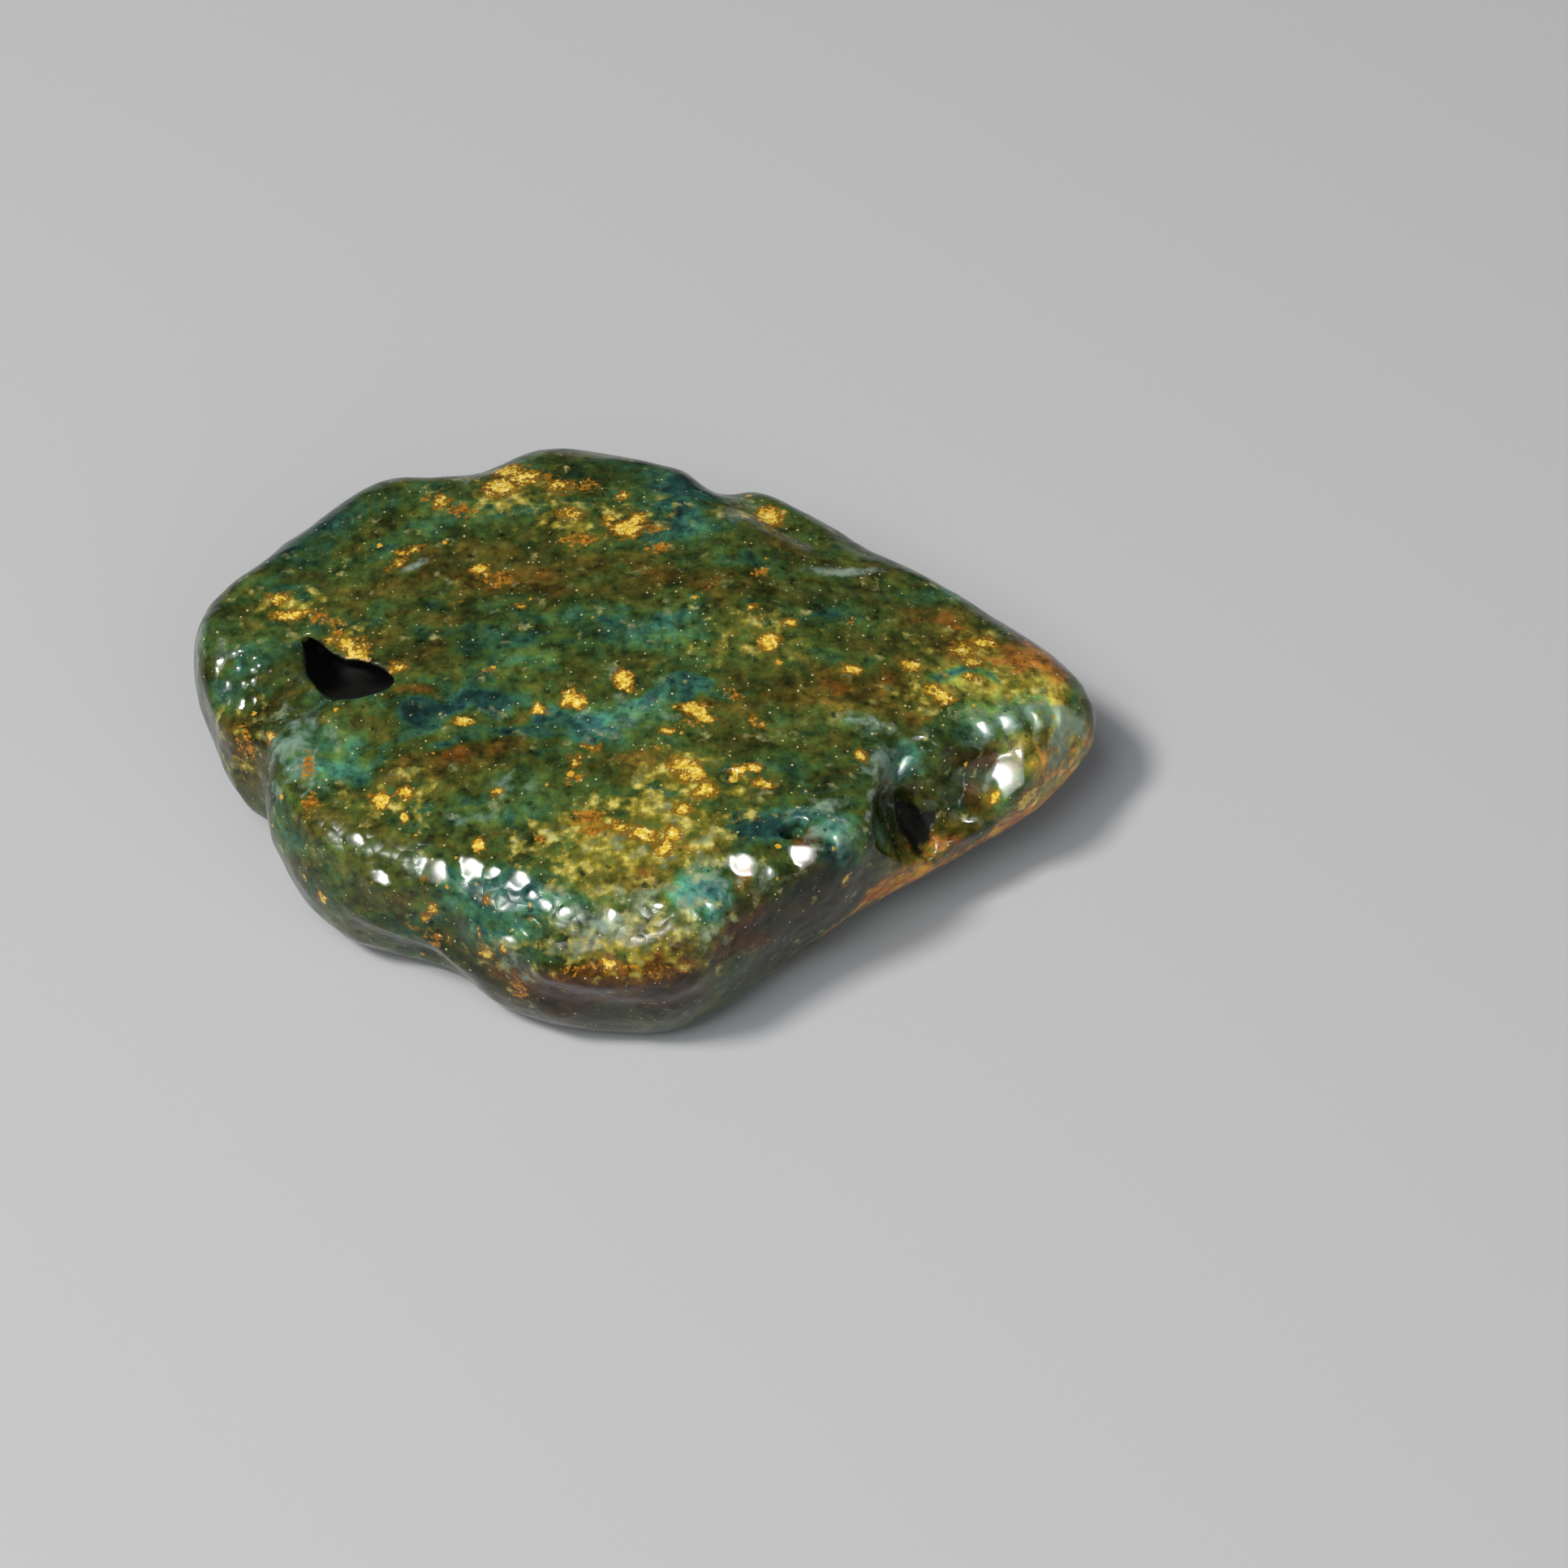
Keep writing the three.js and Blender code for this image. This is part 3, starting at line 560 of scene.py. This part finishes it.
RUST = [
    # Beside the deep hole
    (-20.5, 4, 13.5, 0.5, 0.4, 0.7), (-20, 3, 13.5, 0.5, 0.4, 0.9),
    # Back left
    (-21.5, 4.5, 13.5, 0.6, 0.5, 0.9), (-17, 9, 13.5, 0.5, 0.4, 0.6), (-12.5, 5.5, 14, 0.4, 0.3, 0.5),
    (-9.5, 7.5, 14, 0.8, 0.6, 0.9),
    # Along the back
    (-15, 15.5, 13.5, 0.4, 0.3, 0.8), (-12.5, 14, 14, 0.8, 0.5, 0.9), (-7, 17.5, 13.5, 0.8, 0.5, 0.7),
    (-4, 11, 14, 1.1, 0.5, 0.9), (-4, 16.5, 13.5, 0.6, 0.6, 0.7), (0.5, 12, 14, 0.8, 0.5, 0.8),
    # Along the blue vein and right of it
    (1, 10, 14, 0.8, 0.4, 0.8), (3.5, -5.5, 14, 0.6, 0.4, 0.7), (6.5, -3, 14, 0.5, 0.3, 0.9),
    (7, 0.5, 14.5, 0.3, 0.3, 0.6), (8, 7.5, 14.5, 0.5, 0.4, 0.8),
    # Right side and tip
    (14, 4, 13.5, 0.5, 0.5, 0.6),
    # Front
    (-4, -10, 14, 0.5, 0.3, 0.9), (-3, -13, 13.5, 1, 0.4, 0.9), (-2.5, -14, 13.5, 0.8, 0.5, 0.8),
    (1.5, -7.5, 14, 0.6, 0.3, 0.6),
    # Left side
    (-26, -4, 10.5, 0.6, 1.4, 0.7), (-21.5, -8, 13, 0.4, 0.9, 0.8), (-21, -11, 12.5, 0.4, 0.6, 1),
    (-17, -10.5, 13, 0.4, 0.3, 0.8), (-10, -1, 14, 0.5, 0.3, 0.8), (-6, -14.5, 13, 0.3, 0.3, 1),
    # Below the brow
    (-13, -18, 7.5, 0.5, 0.4, 0.8), (-7.5, -21, 6, 0.6, 0.5, 0.8),
]
HAZE = [
    # Beside the deep hole
    (-19.5, 2.5, 13.5, 2.2, 1.4, -30, 0.6),
    # Back left
    (-23.5, 6, 13, 2.2, 1, 0, 0.6),
    # Along the back
    (-9.5, 15.5, 13.5, 3.2, 2, 0, 0.55), (-4.5, 12.5, 14, 3, 1.3, 0, 0.6),
    (-0.5, 13, 14, 2, 1.6, 0, 0.6), (7.5, 14, 13, 2, 1.2, -30, 0.6),
    # Along the blue vein and right of it
    (8, 2, 14.5, 3, 1.6, 0, 0.5),
    # Right side and tip
    (19.5, -2, 13, 2.8, 1.3, 0, 0.5), (22, 2.5, 12, 3.8, 1.8, 0, 0.5),
    # The last haze patch on this line also lightens the shaded side of the tip: painted light.
    (24.5, -0.5, 12, 3.8, 1.6, 0, 0.6), (28, -4, 8.5, 2.2, 2.4, 0, 0.8),
    # Front
    (-0.5, -15, 13.5, 4.6, 2.6, 0, 1), (1, -20.5, 12.5, 4.2, 1.2, 0, 0.7),
    (1.5, -13, 14, 4, 1.8, 0, 1), (3.5, -10.5, 14, 2.6, 1.8, 0, 0.9),
    # Left side
    (-26, -4, 10, 2, 2.4, 0, 0.5), (-15.5, -11, 13, 2.2, 1.6, 0, 0.5),
    # Below the brow
    (-9, -20.5, 8.5, 1.6, 1.4, 0, 0.4), (-2, -21.5, 11.5, 5, 1, 0, 0.7),
]
# Besides milky clouds, the rows along the front edge and on the tip paint a pale sheen round the bright
# spots, and the first row paints a highlight on the left end.
MILK_AND_SHEEN = [
    # Beside the deep hole
    (-30, 4, 10.5, 0.8, 1.8, 0, 0.4),
    # Along the blue vein and right of it
    (-1, -5, 14, 2.5, 1.4, 0, 0.4),
    # Right side and tip
    (11.5, -12, 14, 1.8, 0.8, -10, 0.5), (12.5, -14.5, 13.5, 1.4, 1.1, 0, 0.7),
    (14, -4.5, 13, 3, 0.8, 0, 0.3), (15.5, -8.5, 13, 0.8, 1.4, 0, 0.9),
    (16, -7.5, 12.5, 0.7, 1.1, 0, 0.9), (24.5, -3, 12, 3, 0.9, 0, 0.6),
    (28, -3.5, 9.5, 1.6, 1.6, 0, 0.8), (28, -3.5, 9, 1.4, 1.4, 0, 0.7),
    # Front
    (-4.5, -14.5, 13.5, 1.2, 0.7, 0, 0.5), (0.5, -14.5, 13.5, 3.5, 1.8, 0, 0.45),
    (1, -19.5, 12.5, 2.8, 1.2, 0, 0.6), (4.5, -18, 13, 1.2, 1.2, 0, 0.8),
    # Left side
    (-24.5, -3, 12, 1.6, 0.7, 0, 0.35), (-22.5, -6, 12.5, 1.7, 2.8, 0, 0.8),
    (-10, -13, 13.5, 1.6, 0.8, 0, 0.5), (-7.5, -10.5, 13.5, 1.8, 0.7, 0, 0.5),
    # Below the brow
    (-7.5, -21, 8.5, 1.6, 0.9, 0, 0.6), (-4.5, -21.5, 11.5, 1.4, 0.9, 0, 0.5),
    (-2, -20.5, 12, 2, 0.6, 0, 1), (5, -21, 12, 1.2, 1, 0, 0.7),
]
# Pale marks are healed cracks; some rows and lines also paint glints and highlights.
PALE_AND_GLINT = [
    # Beside the deep hole
    (-26, -1.5, 13, 0.5, 1.9, 0, 0.3),
    # Back left
    (-15.5, 9, 13.5, 1.2, 0.3, 31, 0.9),
    # Along the back
    (-12.5, 17.5, 13, 0.8, 1.2, 37, 0.6), (-7.5, 14.5, 14, 1.3, 1, 0, 0.4),
    (6, 13.5, 13.5, 1.1, 1.2, -37, 0.7), (7.5, 15.5, 12.5, 2.4, 0.9, -25, 0.6),
    # Along the blue vein and right of it
    (9, 3, 14.5, 3.2, 0.4, -10, 0.5),
    # Right side and tip
    (13.5, 9, 13, 2.7, 0.4, 10, 1), (14.5, -4.5, 13, 2.4, 0.3, -10, 0.75),
    (15.5, -4.5, 13, 1, 0.3, -25, 0.8), (15.5, 9.5, 12.5, 0.4, 0.4, 0, 1),
    (16, -7.5, 11.5, 1.1, 1.5, 0, 0.8), (24.5, 5.5, 11, 2.2, 1.4, -37, 0.6),
    (27.5, -2, 10.5, 2.2, 0.9, -57, 0.7), (28, -3, 10, 1.3, 0.6, -48, 0.6),
    # Front
    (0.5, -9.5, 14, 2.2, 0.8, 0, 0.4), (2.5, -14, 13.5, 1.9, 0.6, 25, 0.4),
    # Left side
    (-23.5, -6.5, 12, 0.4, 1.7, 48, 0.5), (-23.5, -6.5, 12.5, 0.4, 1.6, 0, 0.45),
    (-20.5, -9.5, 12.5, 0.3, 1, 57, 0.6), (-16, -9, 13.5, 1.3, 0.4, 37, 0.5),
    (-7.5, -14.5, 13, 1.3, 0.5, 57, 0.5),
]
# Each line is [kind, radius, strength, points].
LINES = [
    # The first rust line and the honey lines paint the orange glow along the thin lower edge.
    ["rust", 0.25, 0.9, [(12, -15.5, 4.5), (13, -15, 5), (14.5, -14, 5.5)]],
    ["honey", 0.85, 1.3, [(15, -13, 5.5), (16.5, -12, 5), (18.5, -11, 5)]],
    ["honey", 0.45, 0.9, [(18.5, -11, 5), (21, -9.5, 5), (23.5, -7.5, 5.5)]],
    ["honey", 0.8, 1.4, [(23.5, -7.5, 5.5), (25.5, -6.5, 5.5), (28.5, -3, 5.5)]],
    ["rust", 0.35, 0.5, [(-5, -22.5, 9.5), (-2, -22.5, 10.5), (1.5, -23, 10), (3.5, -22.5, 10)]],
    ["gold", 0.16, 0.5, [(-15.5, -17, 8.5), (-13, -18.5, 7.5), (-12.5, -18.5, 6)]],
    # The milk lines paint a pale sheen along lit crests and round the bright spots.
    ["milk_and_sheen", 0.8, 1, [(22.5, -4, 12), (24, -3.5, 12), (28, -2, 11), (29.5, -1.5, 9)]],
    ["milk_and_sheen", 0.7, 0.6, [(-7, -18.5, 12.5), (-3, -20, 12.5), (1, -20, 12.5)]],
    ["milk_and_sheen", 0.6, 0.75, [(1, -20, 12.5), (3.5, -19.5, 13), (6.5, -17, 13)]],
    ["milk_and_sheen", 0.6, 0.4, [(-21.5, -3, 13), (-23.5, -4.5, 12.5), (-23.5, -6.5, 12.5), (-23.5, -8.5, 12.5)]],
    ["pale", 0.14, 0.9, [(-21, -7, 13), (-21, -9, 13), (-21.5, -10.5, 12.5)]],
    ["milk_and_sheen", 0.5, 0.3, [(-25.5, -3, 11), (-23.5, -3, 12), (-21, -3, 13)]],
    # Painted highlight: a frosty pale line along the left end.
    ["pale", 0.35, 0.8, [(-30, 5.5, 10.5), (-29.5, 2.5, 10.5)]],
    ["pale", 0.26, 0.9, [(15.5, -7.5, 13), (15.5, -10.5, 13), (15, -13, 13.5)]],
    ["pale", 0.22, 0.7, [(16.5, -8.5, 9.5), (17, -8, 7), (17.5, -10, 7.5)]],
    # Painted glints: thin pale lines on the rim and edge of the chip.
    ["pale", 0.1, 0.9, [(17.5, -6, 12), (19.5, -6, 12), (21, -5.5, 12)]],
    ["pale", 0.12, 0.8, [(21.5, -6.5, 10), (21.5, -7, 9.5), (21, -7.5, 8)]],
]
print(len(GOLD), "gold marks,", len(RUST), "rust marks,", len(HAZE), "patches of haze")
print(len(MILK_AND_SHEEN), "milky clouds,", len(PALE_AND_GLINT), "pale marks,", len(LINES), "lines")

# %% Painted shade inside the holes
# Each hollow is [x, y, z, radius] of a ball that holds the painted shade inside a hole.
HOLLOWS = [
    (-20.0, -1.0, 8.8, 4.0),
    (-20.0, 3.0, 8.5, 4.5),
    (-21.2, 1.0, 11.4, 2.5),
    (-19.4, -0.6, 11.4, 2.6),
    (-17.6, -1.5, 11.6, 2.5),
    (17.2, -7.3, 7.9, 0.5),
    (18.0, -7.9, 7.4, 1.0),
    (19.1, -8.5, 7.7, 0.6),
    (18.5, -8.6, 6.9, 1.1),
    (18.2, -9.9, 6.8, 0.6),
]
print(len(HOLLOWS), "dark balls in the holes")

# %% Helpers for the numbers on the mesh
noise.seed_set(4)  # without a seed, the soft noise would differ from run to run
corners = corner_places(lump)


def bent(wavelength, reach):
    """The corners of the net in millimetres, each moved by soft noise."""
    return corners + reach * np.array([noise.noise_vector(Vector(c) / wavelength) for c in corners])


def ovals(places, x, y, z, length, width, turn=0):
    """How far each place is from the middle of an oval patch: 0 in the middle and 1 on its rim."""
    away = places - (x, y, z)
    along = away[:, 0] * math.cos(math.radians(turn)) + away[:, 1] * math.sin(math.radians(turn))
    across = away[:, 1] * math.cos(math.radians(turn)) - away[:, 0] * math.sin(math.radians(turn))
    depth = away[:, 2] / (0.5 * (length + width) + 0.25)
    return np.sqrt((along / length) ** 2 + (across / width) ** 2 + depth**2)


def keep(name, values):
    """Stores one number per corner under a name that the material can read."""
    lump.data.attributes.new(name, "FLOAT", "POINT").data.foreach_set("value", values)
    print(name, "from", round(float(values.min()), 2), "to", round(float(values.max()), 2))


# %% Warmth and lightness
broad = bent(2.6, 1.3)
fine = bent(1.1, 0.35)
warmth = np.zeros(len(corners))
lightness = np.ones(len(corners))
for x, y, z, length, width, turn, warm, light in PATCHES:
    inside = soft_step(1.5 - ovals(broad, *on_skin((x, y, z)), length, width, turn))
    warmth += warm * inside
    lightness *= 1 + (light - 1) * inside
keep("warmth", np.clip(warmth, -0.65, 0.55))
keep("lightness", lightness)

# %% Insides of the holes
TOP_FACE = 12.6  # the top face lies above this height, in millimetres
facing = np.empty(len(corners) * 3)
lump.data.vertex_normals.foreach_get("vector", facing)
# Only the walls and floors of the holes get painted shade, not the top face beside them.
wall = np.maximum(soft_step((0.93 - facing.reshape(-1, 3)[:, 2]) * 8), corners[:, 2] < TOP_FACE)
hollow = np.zeros(len(corners))
for x, y, z, radius in HOLLOWS:
    hollow = np.maximum(hollow, soft_step((1.1 - from_line(fine, [(x, y, z)]) / radius) * 6))
keep("hollow", hollow * wall)

# %% Marks and polish
FADE = 2.2  # a mark fades out at this many times its half width
MARKS = {"gold": GOLD, "rust": RUST, "haze": HAZE, "milk_and_sheen": MILK_AND_SHEEN, "pale": PALE_AND_GLINT, "honey": []}
for name, marks in MARKS.items():
    nearest = np.zeros(len(corners))
    for x, y, z, *oval, strength in marks:
        reach = ovals(fine, *on_skin((x, y, z)), *oval)
        nearest = np.maximum(nearest, strength * np.clip(1 - reach / FADE, 0, 1))
    for kind, radius, strength, points in LINES:
        if kind == name:
            reach = from_line(fine, [on_skin(point) for point in points]) / radius
            nearest = np.maximum(nearest, strength * np.clip(1 - reach / FADE, 0, 1))
    keep(name, nearest)
keep("worn", smooth)
left_end = soft_step(1.5 - ovals(corners, -26.0, 0.6, 12.2, 1.8, 2.6))
front = soft_step((2.4 - from_line(corners, [on_skin(point) for point in BROW])) / 1.6)
between = front * (1 - worn)  # the front edge, but not its facets
keep("beaded", np.maximum(left_end, 0.35 * between))
keep("satin", between)

# %% [markdown]
# ## The stone
#
# All the colours are made from noise in the object's own millimetres, so the pattern runs through the
# body like the real one and meets itself at every edge. One number, from blue to red-brown, picks the
# body colour from a ramp. Gold, rust and pale marks, dark specks and bright dust are laid over it; some
# marks and patches also paint light, sheen, glints, glow and shade.

# %% Node helpers
amber = bpy.data.materials.new("amber")
amber.use_nodes = True
tree = amber.node_tree
shader = tree.nodes["Principled BSDF"]


def node(kind, inputs, **settings):
    """Adds a node. Inputs are plain values or the outputs of other nodes."""
    made = tree.nodes.new("ShaderNode" + kind)
    for key, value in settings.items():
        setattr(made, key, value)
    for key, value in inputs.items():
        if isinstance(value, bpy.types.NodeSocket):
            tree.links.new(value, made.inputs[key])
        else:
            made.inputs[key].default_value = value
    return made


def calc(operation, *values):
    """Arithmetic on one, two or three numbers."""
    return node("Math", dict(enumerate(values)), operation=operation).outputs[0]


def ease(value, start, end):
    """0 before start and 1 after end, with a soft passage between them."""
    inputs = {"Value": value, "From Min": start, "From Max": end}
    return node("MapRange", inputs, interpolation_type="SMOOTHSTEP").outputs[0]


def mix(share, first, second, blend="MIX"):
    """Lays the second colour over the first."""
    inputs = {0: share, 6: first, 7: second}
    return node("Mix", inputs, data_type="RGBA", blend_type=blend).outputs[2]


def cloud(place, wavelength, detail=3, roughness=0.55):
    """Soft noise around 0.5 whose blotches are about one wavelength wide, in millimetres."""
    inputs = {"Vector": place, "Scale": 1 / wavelength, "Detail": detail, "Roughness": roughness}
    return node("TexNoise", inputs).outputs[0]


def swing(noise_value, middle, width):
    """Noise stretched to swing round a middle, from end to end by about the width."""
    return calc("MULTIPLY_ADD", noise_value, width, middle - width / 2)


def ramp(value, stops):
    """A colour picked by a value from stops of (position, colour)."""
    made = node("ValToRGB", {0: value})
    elements = made.color_ramp.elements
    while len(elements) < len(stops):
        elements.new(0.5)
    for element, (position, colour) in zip(elements, stops):
        element.position = position
        element.color = (*colour, 1)
    return made.outputs[0]


def stored(name):
    """A number kept on the mesh."""
    return node("Attribute", {}, attribute_name=name).outputs["Fac"]


# %% Places in the stone
DRIFT = 5  # millimetres that the pattern wanders, and over which it does so
BAND_TURN = -12  # degrees between the bands and the length of the slab
BAND_STRETCH = (0.36, 1, 1)  # below 1 draws the blotches out along that axis
own = node("TexCoord", {}).outputs["Object"]
place = node("VectorMath", {0: own, "Scale": 1 / MM}, operation="SCALE").outputs[0]
drift = node("TexNoise", {"Vector": place, "Scale": 1 / DRIFT, "Detail": 2}).outputs["Color"]
wander = {0: drift, 1: (DRIFT, DRIFT, DRIFT), 2: place}
drifted = node("VectorMath", wander, operation="MULTIPLY_ADD").outputs[0]
lay = {"Vector": drifted, "Rotation": (0, 0, math.radians(BAND_TURN)), "Scale": BAND_STRETCH}
banded = node("Mapping", lay, vector_type="POINT").outputs[0]
print("the pattern wanders by", DRIFT, "mm, and its bands are turned by", BAND_TURN, "degrees")

# %% Body colour
BODY = [  # (hue, colour), from blue to red-brown
    (0.00, (0.020, 0.068, 0.058)),
    (0.14, (0.036, 0.120, 0.076)),
    (0.28, (0.040, 0.108, 0.046)),
    (0.42, (0.048, 0.092, 0.022)),
    (0.56, (0.058, 0.078, 0.014)),
    (0.72, (0.076, 0.070, 0.012)),
    (0.88, (0.104, 0.074, 0.011)),
    (1.00, (0.160, 0.066, 0.011)),
]
MIDDLE_HUE = 0.5
bands = swing(cloud(banded, 3.0, 4), 0, 1.5)
mottle = swing(cloud(drifted, 1.3, 4), 0, 0.8)
hue = calc("ADD", calc("ADD", bands, mottle), calc("ADD", stored("warmth"), MIDDLE_HUE))
grain = swing(cloud(place, 0.8, 4, 0.62), 1, 3.6)
depth = swing(cloud(drifted, 2.6, 3, 0.6), 1, 3.2)
shade = calc("MULTIPLY", calc("MULTIPLY", grain, depth), stored("lightness"))
body = node("VectorMath", {0: ramp(hue, BODY), "Scale": shade}, operation="SCALE").outputs[0]
print(len(BODY), "body colours")

# %% [markdown]
# The marks are stored as smooth hills, highest in the middle of each mark. Noise is added to a hill
# before it is cut off at a height, and that gives the mark its torn edge. Where a kind of mark must
# stay close to its own places, the noise is first held down to nothing away from the hills.

# %% Noise that tears the marks
ragged = swing(cloud(place, 0.38, 4, 0.75), 0, 1)
coarse = swing(cloud(place, 1.2), 0, 1)


def mark(name, tear, amount, start, end):
    """Where a kind of mark shows, from 0 to 1, torn by an amount of noise."""
    return ease(calc("MULTIPLY_ADD", tear, amount, stored(name)), start, end)


def held(tear, name, reach):
    """Noise that is held down to nothing away from a kind of mark."""
    return calc("MULTIPLY", tear, ease(stored(name), 0, reach))


# %% Yellow haze
HAZE_TONES = [
    (0.36, (0.12, 0.12, 0.015)),
    (0.46, (0.23, 0.19, 0.018)),
    (0.57, (0.45, 0.36, 0.045)),
    (0.68, (0.84, 0.70, 0.17)),
]
haze_field = calc("MULTIPLY_ADD", ragged, 0.2, calc("MULTIPLY_ADD", coarse, 2.6, stored("haze")))
haze_tone = ramp(calc("MULTIPLY_ADD", ragged, 0.12, cloud(place, 0.75, 2, 0.45)), HAZE_TONES)
body = mix(calc("MULTIPLY", ease(haze_field, 0.25, 0.80), 0.9), body, haze_tone)
print(len(HAZE_TONES), "tones of haze")

# %% Milk and painted sheen, pale wisps and painted glints, painted honey glow, and rust
MILK_AND_SHEEN_WHITE = (0.28, 0.43, 0.34, 1)
WISP_AND_GLINT_WHITE = (0.42, 0.55, 0.46, 1)
DEEP_HONEY_GLOW = (0.62, 0.16, 0.010, 1)
LIGHT_HONEY_GLOW = (1.0, 0.50, 0.03, 1)
DARK_RUST = (0.15, 0.055, 0.006, 1)
LIGHT_RUST = (0.55, 0.24, 0.025, 1)
# Partly painted sheen: milk lays milky clouds and the pale sheen round bright spots.
body = mix(calc("MULTIPLY", mark("milk_and_sheen", coarse, 2.6, 0.25, 1.15), 0.75), body, MILK_AND_SHEEN_WHITE)
# Pale wisps are healed cracks and, in places, painted glints and highlights.
body = mix(calc("MULTIPLY", mark("pale", ragged, 1.0, 0.35, 0.95), 0.65), body, WISP_AND_GLINT_WHITE)
# Painted glow: honey marks make thin edges shine as if light came through them.
honey_glow_tone = mix(ease(coarse, -0.1, 0.15), DEEP_HONEY_GLOW, LIGHT_HONEY_GLOW)
body = mix(mark("honey", held(coarse, "honey", 0.3), 2.4, 0.15, 0.95), body, honey_glow_tone)
rust_tone = mix(ease(ragged, -0.1, 0.14), DARK_RUST, LIGHT_RUST)
body = mix(mark("rust", ragged, 2.2, 0.36, 0.64), body, rust_tone)
print("milk, wisps, honey and rust are laid on")

# %% Gold
GOLD_RIM = (0.26, 0.115, 0.010, 1)
GOLD_TONES = [
    (0.34, (0.56, 0.31, 0.025)),
    (0.50, (0.88, 0.60, 0.06)),
    (0.66, (1.0, 0.84, 0.28)),
]
gold_tear = held(ragged, "gold", 0.2)
body = mix(mark("gold", gold_tear, 1.6, 0.24, 0.46), body, GOLD_RIM)
gold_tone = ramp(cloud(place, 0.3, 2, 0.6), GOLD_TONES)
body = mix(mark("gold", gold_tear, 1.6, 0.50, 0.64), body, gold_tone)
print(len(GOLD_TONES), "tones of gold inside a brown rim")


# %% [markdown]
# Old amber is full of dirt that the resin caught: dark specks, orange crumbs and fine pale dust, whose
# bright dots are also painted sparkles of light. A Voronoi texture drops one dot in each of its cells,
# and a power curve makes most of them tiny.

# %% Specks, crumbs and dust
SPECK = (0.008, 0.016, 0.006, 1)
CRUMB = (0.75, 0.40, 0.04, 1)
DUST_AND_SPARKLE = (0.80, 0.66, 0.36, 1)


def dots(spacing, radius, rarity, rough):
    """Small ragged dots through the body. Each has its own size: few are large when rarity is high."""
    cells = node("TexVoronoi", {"Vector": place, "Scale": 1 / spacing})
    size = calc("MULTIPLY", calc("POWER", cells.outputs["Color"], rarity), radius)
    away = calc("MULTIPLY_ADD", cells.outputs["Distance"], spacing, calc("MULTIPLY", ragged, rough))
    return ease(calc("SUBTRACT", away, size), 0.025, -0.025)


body = mix(calc("MULTIPLY", dots(1.3, 0.30, 2.5, 0.5), 0.7), body, SPECK)
body = mix(dots(1.9, 0.32, 2.5, 0.6), body, CRUMB)
# Painted sparkle as well as dust: tiny bright dots all over the skin.
body = mix(calc("MULTIPLY", dots(0.48, 0.10, 1.6, 0), 0.8), body, DUST_AND_SPARKLE)
print("three sizes of dots are laid on")

# %% [markdown]
# Polished amber is glossy, and clear only where it is thin. The shader lets a part of the light in,
# and an absorption volume soaks up most of it, so that only thin edges glow. The insides of the holes
# get painted shade, and the worn front edge is a little satin between its facets.

# %% Shine and clearness
HOLE_PAINTED_SHADE = 0.97
GLOSS = 0.18  # roughness of the polished skin
HOLE_ROUGHER = 0.6
SATIN_ROUGHER = 0.14
# Painted shade: the base colour is darkened inside the holes, where little light reaches.
in_the_open = calc("MULTIPLY_ADD", stored("hollow"), -HOLE_PAINTED_SHADE, 1.0)
body = node("VectorMath", {0: body, "Scale": in_the_open}, operation="SCALE").outputs[0]
tree.links.new(body, shader.inputs["Base Color"])
polish = calc("MULTIPLY_ADD", stored("hollow"), HOLE_ROUGHER, GLOSS)
polish = calc("MULTIPLY_ADD", stored("satin"), SATIN_ROUGHER, polish)
tree.links.new(polish, shader.inputs["Roughness"])
shader.inputs["IOR"].default_value = 1.54
shader.inputs["Transmission Weight"].default_value = 0.35
shader.inputs["Specular IOR Level"].default_value = 0.15
inside = node("VolumeAbsorption", {"Color": (0.85, 0.55, 0.10, 1), "Density": 1500})
tree.links.new(inside.outputs[0], tree.nodes["Material Output"].inputs["Volume"])
print("IOR", round(shader.inputs["IOR"].default_value, 2))

# %% [markdown]
# The last and finest layer is only felt: waves a few hundredths of a millimetre high, and a cluster of
# small round beads at the left end. They are too fine for the net, so they are a bump in the shader.

# %% Touch
BEAD_SPACING = 1.0
BEAD_HEIGHT = -8.0  # below 0 it raises the middle of each cell
BUMP_HEIGHT = 0.045
cells = node("TexVoronoi", {"Vector": place, "Scale": 1 / BEAD_SPACING}).outputs["Distance"]
beads = calc("MULTIPLY", calc("MULTIPLY", cells, cells), calc("MULTIPLY", stored("beaded"), BEAD_HEIGHT))
waves = calc("MULTIPLY_ADD", cloud(place, 0.3, 2, 0.6), 0.15, cloud(place, 0.9, 1, 0.5))
waves = calc("MULTIPLY", waves, calc("MULTIPLY_ADD", stored("worn"), -0.92, 1.0))
waves = calc("MULTIPLY", waves, calc("MULTIPLY_ADD", stored("beaded"), -0.85, 1.0))
touch = {"Height": calc("ADD", waves, beads), "Strength": 1.0, "Distance": BUMP_HEIGHT * MM}
tree.links.new(node("Bump", touch).outputs[0], shader.inputs["Normal"])
lump.data.materials.append(amber)
print(len(tree.nodes), "nodes in the material")

# %% Place in the frame
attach(lump, "root")
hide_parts("amber_lump")
print(lump.name, "stands in for", solid.name)
